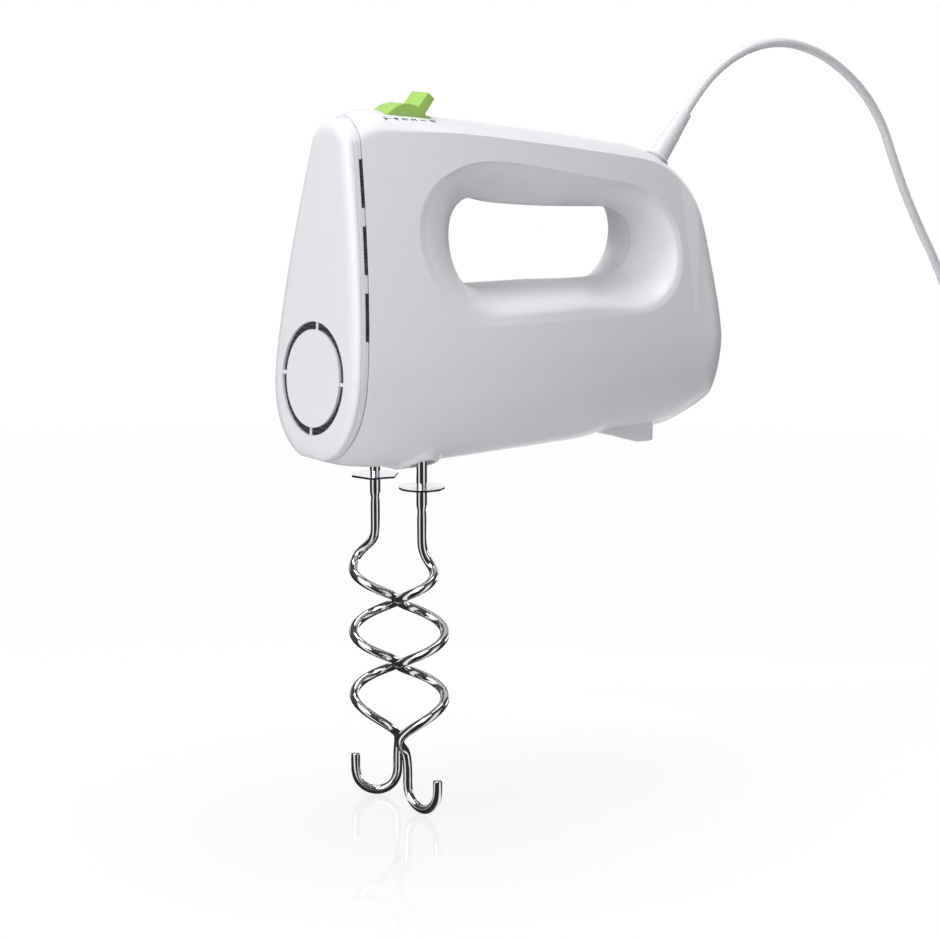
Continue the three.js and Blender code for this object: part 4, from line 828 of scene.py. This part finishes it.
# ---- finishes
class Value:
    """One output of a node; + - * on it make Math nodes."""

    def __init__(self, finish, socket):
        self.finish, self.socket = finish, socket

    def maths(self, operation, *others):
        """A Math node on this value and others."""
        return self.finish.node("Math", {"operation": operation}, dict(enumerate((self, *others))))

    def __add__(self, other):
        return self.maths("ADD", other)

    def __sub__(self, other):
        return self.maths("SUBTRACT", other)

    def __rsub__(self, other):
        return self.maths("MULTIPLY_ADD", -1.0, other)

    def __mul__(self, other):
        return self.maths("MULTIPLY", other)

    __radd__, __rmul__ = __add__, __mul__


class Finish:
    """The nodes of a material, given by name, or of a world, with the coordinates they start from."""

    def __init__(self, owner, coords="Object"):
        self.owner = bpy.data.materials.new(owner) if isinstance(owner, str) else owner
        self.owner.use_nodes = True
        self.tree = self.owner.node_tree
        self.tree.nodes.clear()
        self.coords = self.node("TexCoord", out=coords)

    def node(self, kind, settings=None, sockets=None, out=0):
        """Adds a node of a kind, its settings first, then the values or links of its sockets."""
        made = self.tree.nodes.new("ShaderNode" + kind)
        for key, value in (settings or {}).items():
            setattr(made, key, value)
        for key, value in (sockets or {}).items():
            if isinstance(value, Value):
                self.tree.links.new(value.socket, made.inputs[key])
            else:
                made.inputs[key].default_value = value
        return Value(self, made.outputs[out]) if len(made.outputs) else None

    def stretched(self, scale, turn=(0, 0, 0), at=(0, 0, 0)):
        """The coordinates, turned, scaled and moved."""
        return self.node("Mapping", {}, {0: self.coords, "Location": at, "Rotation": turn, "Scale": scale})

    def noise(self, scale, detail=3.0, rough=0.6, vector=None):
        """Noise from 0 to 1 on the coordinates, or on a vector."""
        place = {"Vector": vector or self.coords}
        return self.node("TexNoise", {}, {**place, "Scale": scale, "Detail": detail, "Roughness": rough})

    def wave(self, way, scale, sockets=None, **settings):
        """Bands across a way, as a number."""
        return self.node("TexWave", {"wave_type": "BANDS", "bands_direction": way, **settings},
                         {"Vector": self.coords, "Scale": scale, **(sockets or {})}, out=1)

    def ramp(self, value, low, high, to_low=0.0, to_high=1.0):
        """Maps low..high to to_low..to_high and holds the ends."""
        return self.node("MapRange", {"clamp": True}, {0: value, 1: low, 2: high, 3: to_low, 4: to_high})

    def mix(self, share, a, b):
        """Colour a, turning to b as share goes from 0 to 1."""
        return self.node("Mix", {"data_type": "RGBA"}, {0: share, 6: a, 7: b}, out=2)

    def blend(self, value, low, high, a, b):
        """Colour a where a value is low, b where it is high."""
        return self.mix(self.ramp(value, low, high), a, b)

    def part(self, vector, axis):
        """One coordinate of a vector."""
        return self.node("SeparateXYZ", {}, {0: vector}, out=axis)

    def cell(self, scale, middle):
        """Distance from the middle of each square of a grid."""
        place = self.node("VectorMath", {"operation": "FRACTION"}, {0: self.stretched(scale)}, out="Vector")
        return self.node("VectorMath", {"operation": "DISTANCE"}, {0: place, 1: middle}, out="Value")

    def bump(self, height, distance):
        """A normal that stands for a height, with a distance in metres."""
        return self.node("Bump", {}, {"Height": height, "Distance": distance, "Strength": 1.0}, out="Normal")

    def surface(self, tone, gloss, **sockets):
        """The surface itself, from its colour and roughness; other sockets' names use _ for a space."""
        named = {key.replace("_", " "): value for key, value in sockets.items()}
        self.close(self.node("BsdfPrincipled", {}, {"Base Color": tone, "Roughness": gloss, **named}))
        return self.owner

    def close(self, shader, kind="OutputMaterial"):
        """Feeds the output."""
        self.node(kind, {}, {"Surface": shader})


def rgb(red, green, blue):
    """Linear colour of an sRGB colour given as 0-255."""
    c = np.array([red, green, blue]) / 255
    return (*np.where(c <= 0.04045, c / 12.92, ((c + 0.055) / 1.055) ** 2.4).tolist(), 1.0)


def dim(colour, share):
    """A share of a colour."""
    return (*[share * c for c in colour[:3]], 1.0)


def moulded(name, colour, rough, spread, grain=2600.0, depth=0.00002):
    """Moulded plastic: a fine spark-eroded grain, slow changes of tone and gloss, and faint rubbed spots."""
    f = Finish(name)
    fine = f.noise(grain)
    slow = f.noise(14.0, 3.0, 0.55)
    rub = f.ramp(f.noise(126.0, 4.0), 0.55, 0.75)
    tone = f.blend(slow, 0.3, 0.7, dim(colour, 1 - spread), colour)
    tone = f.mix(rub * 0.12, tone, dim(colour, 0.9))
    gloss = f.ramp(slow, 0.3, 0.7, rough - 0.03, rough + 0.03) + rub * 0.05 + fine * 0.04
    return f.surface(tone, gloss, Normal=f.bump(fine, depth), IOR=1.49)


def polished():
    """Bright plated steel: faint drawing lines, clouding and a few fine scratches."""
    f = Finish("hook_chrome")
    colour, rough = rgb(232, 233, 236), 0.06
    lines = f.noise(1.0, vector=f.stretched((2600, 2600, 160)))
    cloud = f.noise(70.0)
    wear = f.ramp(f.noise(1.0, 2.0, 0.5, f.stretched((900, 900, 3000), (0.5, 0.3, 0))), 0.62, 0.72)
    tone = f.blend(cloud, 0.35, 0.7, colour, dim(colour, 0.9))
    gloss = f.ramp(cloud, 0.3, 0.7, rough * 0.85, rough * 1.15) + lines * 0.01 + wear * 0.03
    return f.surface(tone, gloss, Metallic=1.0, Normal=f.bump(lines, 0.0000001))


def stamped():
    """Stamped plate: polished faces, and a sheared edge wherever the surface stands upright; the edge's
    rougher gloss and shear marks are its own, its dark colour is a painted dark reflection.
    """
    f = Finish("stamped_plate_steel")
    upright_share = f.part(f.node("TexCoord", out="Normal"), "Z").maths("ABSOLUTE")
    edge = f.ramp(upright_share, 0.2, 0.6, 1.0, 0.0)
    cloud = f.noise(160.0)
    shear = f.noise(1.0, 2.0, vector=f.stretched((1500, 1500, 300)))
    tone = f.blend(cloud, 0.35, 0.7, rgb(244, 244, 247), rgb(228, 229, 233))
    # near-black colour on the upright edge: painted dark reflection, not the steel's own colour
    tone = f.mix(edge, tone, f.blend(shear, 0.4, 0.7, rgb(52, 53, 57), rgb(84, 86, 92)))
    gloss = f.ramp(cloud, 0.3, 0.7, 0.1, 0.16) + edge * 0.15
    return f.surface(tone, gloss, Metallic=1.0, Normal=f.bump(shear, 0.000004))


def turned(name, colour, rough, axis="X", depth=0.00001):
    """Machined metal: fine turning rings across an axis, with stains."""
    f = Finish(name)
    rings = f.wave(axis, 1500.0, {"Distortion": 1.2, "Detail": 2.0})
    stain = f.noise(90.0, 4.0)
    tone = f.blend(stain, 0.4, 0.75, colour, dim(colour, 0.72))
    gloss = f.ramp(stain, 0.3, 0.7, rough, rough + 0.15)
    return f.surface(tone, gloss, Metallic=1.0, Normal=f.bump(rings, depth))


def laminated():
    """Motor stack: thin sheets across the shaft, dark between, oiled grey on their edges."""
    f = Finish("motor_laminations")
    sheets = f.wave("X", 318.0, wave_profile="SAW")
    oil = f.noise(60.0, 4.0)
    steel = f.blend(oil, 0.35, 0.7, rgb(142, 144, 150), rgb(96, 92, 88))
    tone = f.mix(f.ramp(sheets, 0.0, 0.25, 1.0, 0.0), steel, rgb(34, 32, 32))
    return f.surface(tone, f.ramp(oil, 0.3, 0.7, 0.35, 0.55), Metallic=0.9, Normal=f.bump(sheets, 0.00006))


def wound():
    """Enamelled copper wire: round strands side by side, slightly wandering."""
    f = Finish("copper_winding")
    strands = f.wave("DIAGONAL", 420.0, {"Distortion": 0.8, "Detail": 1.0})
    tone = f.blend(f.noise(150.0), 0.3, 0.7, rgb(176, 92, 44), rgb(214, 130, 70))
    tone = f.mix(f.ramp(strands, 0.0, 0.4, 0.75, 0.0), tone, rgb(70, 30, 14))
    return f.surface(tone, f.ramp(strands, 0, 1, 0.45, 0.25), Metallic=0.85, Normal=f.bump(strands, 0.0001),
                     Coat_Weight=0.4, Coat_Roughness=0.1)


def perforated(name, colour, pitch):
    """Grille: round holes on a square grid across X, from the distance to each cell's middle."""
    f = Finish(name)
    web = f.ramp(f.cell((0, 1 / pitch, 1 / pitch), (0, 0.5, 0.5)), 0.31, 0.41)
    grime = f.noise(220.0)
    tone = f.mix(web, rgb(22, 23, 26), f.blend(grime, 0.3, 0.7, colour, dim(colour, 0.75)))
    return f.surface(tone, f.ramp(grime, 0.3, 0.7, 0.5, 0.65), Normal=f.bump(web, 0.0003))


def circuit_board():
    """Green solder mask over copper tracks on a square grid, with tinned pads."""
    f = Finish("circuit_board")
    pad = f.cell((400, 400, 0), (0.5, 0.5, 0))
    blocks = f.node("TexVoronoi", {"distance": "MANHATTAN"}, {"Vector": f.coords, "Scale": 260.0})
    tracks = f.ramp(blocks, 0.42, 0.5)
    tone = f.mix(tracks, rgb(28, 92, 56), rgb(52, 128, 76))
    tone = f.mix(f.ramp(pad, 0.16, 0.2, 1.0, 0.0), tone, rgb(196, 192, 180))
    gloss = f.ramp(pad, 0.16, 0.3, 0.25, 0.4)
    return f.surface(tone, gloss, Normal=f.bump(tracks, 0.00003), Coat_Weight=0.3)


def speckled(name, grain, span, low, high, gloss, depth):
    """One fine grain that carries colour, gloss and relief: pressed carbon, or pad print with worn spots."""
    f = Finish(name)
    speck = f.noise(*grain)
    gloss = f.ramp(speck, 0.3, 0.7, *gloss)
    return f.surface(f.blend(speck, *span, low, high), gloss, Normal=f.bump(speck, depth))


def segmented():
    """Commutator: copper bars round the shaft with dark slots, from the angle about the shaft."""
    f = Finish("commutator_bars")
    about = f.stretched((1, 1, 1), at=(0, 0, -(SHAFT_Z + SHIFT[2]) / 1000))
    y, z = (f.part(about, axis) for axis in "YZ")
    bar = (y.maths("ARCTAN2", z) * (24 / (2 * math.pi))).maths("FRACT")
    slot = f.ramp(bar.maths("PINGPONG", 0.5), 0.03, 0.07, 1.0, 0.0)
    track = f.noise(1.0, 2.0, 0.5, f.stretched((2500, 60, 60)))
    tone = f.mix(slot, f.blend(track, 0.35, 0.7, rgb(206, 128, 82), rgb(150, 86, 52)), rgb(36, 30, 28))
    gloss = f.ramp(track, 0.3, 0.7, 0.2, 0.38)
    return f.surface(tone, gloss, Metallic=0.9, Normal=f.bump(slot * -1, 0.0003))


def sheath(name, colour, rough):
    """Cord sheath: smooth vinyl with slow tone changes along it and a faint handled gloss."""
    f = Finish(name)
    slow = f.noise(30.0)
    tone = f.blend(slow, 0.3, 0.7, colour, dim(colour, 0.93))
    tone = f.mix(f.ramp(f.noise(90.0), 0.5, 0.8, 0.0, 0.3), tone, dim(colour, 0.88))
    return f.surface(tone, f.ramp(slow, 0.3, 0.7, rough, rough + 0.07))


WHITE = rgb(236, 237, 241)
# A finish, the record's slot that it stands for, and what wears it: pieces, or CAD nodes by name.
LOOKS = [
    (moulded("white_shell_grain", WHITE, 0.34, 0.012), "white_shell", *shells, vents),
    (moulded("front_cover_grain", WHITE, 0.3, 0.012), "white_shell", cover),
    (moulded("relief_rubber", rgb(226, 227, 231), 0.46, 0.03, 1800.0, 0.00003), "white_shell", relief),
    (moulded("green_switch_gloss", rgb(172, 214, 110), 0.3, 0.03, 1500.0, 0.00001), "green_switch", switch),
    (moulded("switch_dot_dark", rgb(86, 104, 58), 0.5, 0.1), "green_switch", dot),
    (perforated("filter_grille", rgb(74, 78, 84), 0.0021), "grey_filter", filter_ring),
    # dark strips of painted shade inside the vent slots, carrying a grille pattern
    (perforated("vent_grille", rgb(60, 63, 68), 0.0018), "grey_filter", painted_shade_liner),
    (speckled("pad_print", (900.0, 3.0, 0.6), (0.5, 0.75), rgb(62, 64, 69), rgb(92, 95, 101), (0.4, 0.55),
              0.00001), "grey_filter", marks),
    (polished(), "polished_steel", *hooks),
    (stamped(), "polished_steel", *collars),
    (sheath("cord_vinyl", rgb(232, 233, 237), 0.24), "cord_sheath", cord),
    (sheath("tie_vinyl", rgb(120, 122, 128), 0.5), "cord_sheath", tie),
    (sheath("plug_vinyl", rgb(230, 231, 235), 0.34), "cord_sheath", plug),
    (sheath("pin_sleeve_vinyl", rgb(48, 49, 52), 0.4), "cord_sheath", sleeve_left, sleeve_right),
    (turned("pin_nickel", rgb(206, 198, 176), 0.2, "Y", 0.000005), "brass", pin_left, pin_right),
    (moulded("natural_nylon", rgb(228, 221, 202), 0.45, 0.08, 1200.0), None, "eject_slider",
     "drive_spindle_left", "drive_spindle_right", "rear_bracket", "gear_frame"),
    (moulded("fan_nylon_grey", rgb(86, 88, 94), 0.5, 0.1, 1200.0), None, "fan"),
    (turned("shaft_steel", rgb(176, 178, 184), 0.24), None, "motor_shaft"),
    (turned("axle_steel", rgb(186, 187, 192), 0.28, "Y"), None, "switch_axle"),
    (laminated(), None, "stator_stack", "armature_stack"),
    (wound(), None, "field_coil_left", "field_coil_right", "armature_winding"),
    (segmented(), None, "commutator"),
    (turned("bush_brass", rgb(206, 170, 96), 0.26, "Z"), None, "lower_bush_left", "lower_bush_right",
     "upper_bush_left", "upper_bush_right"),
    (turned("bearing_brass", rgb(190, 152, 88), 0.34), None, "front_bearing", "rear_bearing"),
    (turned("holder_brass", rgb(212, 178, 104), 0.3, "Y"), None, "brush_holder_left", "brush_holder_right"),
    (speckled("carbon_brush_block", (1800.0, 4.0, 0.7), (0.45, 0.7), rgb(38, 38, 42), rgb(74, 74, 80),
              (0.65, 0.4), 0.00005), None, "carbon_brush_left", "carbon_brush_right"),
    (moulded("capacitor_yellow", rgb(216, 176, 60), 0.35, 0.08, 900.0), None, "film_capacitor"),
    (moulded("choke_ferrite", rgb(54, 52, 54), 0.55, 0.2, 1500.0, 0.00006), None, "choke"),
    (moulded("switch_chip_epoxy", rgb(36, 36, 40), 0.42, 0.2, 2000.0, 0.00004), None, "power_switch_chip"),
    (circuit_board(), None, "control_board"),
    (moulded("terminal_block_white", rgb(228, 228, 224), 0.4, 0.05, 1500.0), None, "terminal_block"),
]


def dress(look, piece):
    """Gives a piece, or a CAD node named by a string, its finish in each material slot."""
    inside = isinstance(piece, str)
    piece = frame["nodes"][piece] if inside else piece
    if len(piece.data.materials) == 0:
        piece.data.materials.append(None)
    for holder in piece.material_slots:
        holder.link = "OBJECT" if inside else "DATA"
        holder.material = look


for finish, slot, *wearers in LOOKS:
    for wearer in wearers:
        dress(finish, wearer)


# ---- floor and light
SKY_LOW, SKY_HIGH = 0.16, 0.27  # light that reaches the mixer from low and from high
BRIGHT, DARK = (1, 1, 1, 1), (0, 0, 0, 1)
AHEAD = 125  # degrees that bring the camera's own side of the studio to 0


def background_rays(f):
    """Rays that see the plain background, and mirrored rays."""
    seen = f.node("LightPath", out="Is Camera Ray") + f.node("LightPath", out="Is Transmission Ray")
    return seen, f.node("LightPath", out="Is Glossy Ray")


def bands(f, way):
    """White bands to either side of the view, and the band behind the mixer, by a level direction's turn."""
    x, y = (f.part(way, axis) for axis in "XY")
    turn = (y.maths("ARCTAN2", x) * (180 / math.pi) + (AHEAD + 540)).maths("MODULO", 360) - 180
    side = turn.maths("ABSOLUTE")
    return f.ramp(side, 34, 42) * f.ramp(side, 64, 76, 1.0, 0.0), f.ramp(side, 120, 140)


def pale_floor():
    """Floor that reads as white backdrop; near the mixer it keeps some of its shading and a thin gloss."""
    mesh = bpy.data.meshes.new("floor")
    level, far = (FLOOR + SHIFT[2]) / 1000, 60
    mesh.from_pydata([(x, y, level) for x, y in oblong(-far, far, -far, far)], [], [(0, 1, 2, 3)])
    f = Finish("pale_floor")
    flat = f.stretched((1, 1, 0), at=(-SHIFT[0] / 1000, 0, 0))
    reach = f.node("VectorMath", {"operation": "LENGTH"}, {0: flat}, out="Value")
    seen, glossy = background_rays(f)
    white = f.node("Emission", {}, {"Color": BRIGHT, "Strength": 1.0})
    matt = f.node("BsdfDiffuse", {}, {"Color": (0.95, 0.95, 0.95, 1)})
    tone = f.blend(reach, 0.12, 0.5, rgb(240, 240, 241), rgb(168, 168, 170))
    bounce = f.node("BsdfDiffuse", {}, {"Color": tone})
    shine = f.node("BsdfGlossy", {}, {"Color": BRIGHT, "Roughness": 0.03})
    face = f.node("MixShader", {}, {0: f.ramp(reach, 0.5, 1.1, 1.0, 0.0) * 0.13, 1: white, 2: matt})
    face = f.node("MixShader", {}, {0: f.ramp(reach, 0.08, 0.22, 0.1, 0.0), 1: face, 2: shine})
    strip = f.mix(bands(f, flat)[0], dim(BRIGHT, 0.03), BRIGHT)
    mirrored = f.node("Emission", {}, {"Color": strip, "Strength": 1.0})
    rest = f.node("MixShader", {}, {0: glossy, 1: bounce, 2: mirrored})
    f.close(f.node("MixShader", {}, {0: seen, 1: rest, 2: face}))
    mesh.materials.append(f.owner)
    added("floor", mesh)


def world_light():
    """White to the camera; what lights the mixer and what metal mirrors are set apart from it, by height."""
    scene.world = bpy.data.worlds.new("studio")
    f = Finish(scene.world, "Generated")
    seen, glossy = background_rays(f)
    height = f.part(f.coords, "Z")
    lit = f.mix(f.ramp(height, -0.1, 0.5, SKY_LOW, SKY_HIGH), DARK, BRIGHT)
    strip, behind = bands(f, f.coords)
    strip, behind = strip * f.ramp(height, 0.1, 0.5, 1.0, 0.0), behind * f.ramp(height, 0.24, 0.4, 1.0, 0.0)
    mirrored = f.mix(strip + behind, dim(BRIGHT, 0.07), BRIGHT)
    colour = f.mix(seen, f.mix(glossy, lit, mirrored), BRIGHT)
    f.close(f.node("Background", {}, {"Color": colour, "Strength": 1.0}), "OutputWorld")


def soft_light(name, at, aim, size, watts):
    """Rectangular lamp that looks at a point and isn't seen itself."""
    data = bpy.data.lights.new(name, "AREA")
    data.shape, data.size, data.size_y, data.energy = "RECTANGLE", *size, watts
    lamp = added(name, data)
    lamp.matrix_world = look(unit(np.subtract(at, aim)), at)
    lamp.visible_camera = False


pale_floor()
world_light()
soft_light("front_soft", (-0.98, -0.38, 0.5), (0, 0, -0.05), (1.1, 1.1), 10.9)
soft_light("side_soft", (1.0, -0.24, -0.1), (0.05, 0, -0.05), (0.5, 0.3), 1.0)
soft_light("top_soft", (0.05, 0.15, 1.6), (0, 0, -0.05), (1.1, 1.1), 20.5)
soft_light("floor_glow", (0.2, 0.16, -0.286), (0.04, 0, -0.12), (0.3, 0.12), 0.2)
scene.view_settings.view_transform = "Standard"


# ---- riding
for piece in [o for o in scene.objects if "rides" in o.keys()]:
    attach(piece, piece["rides"])
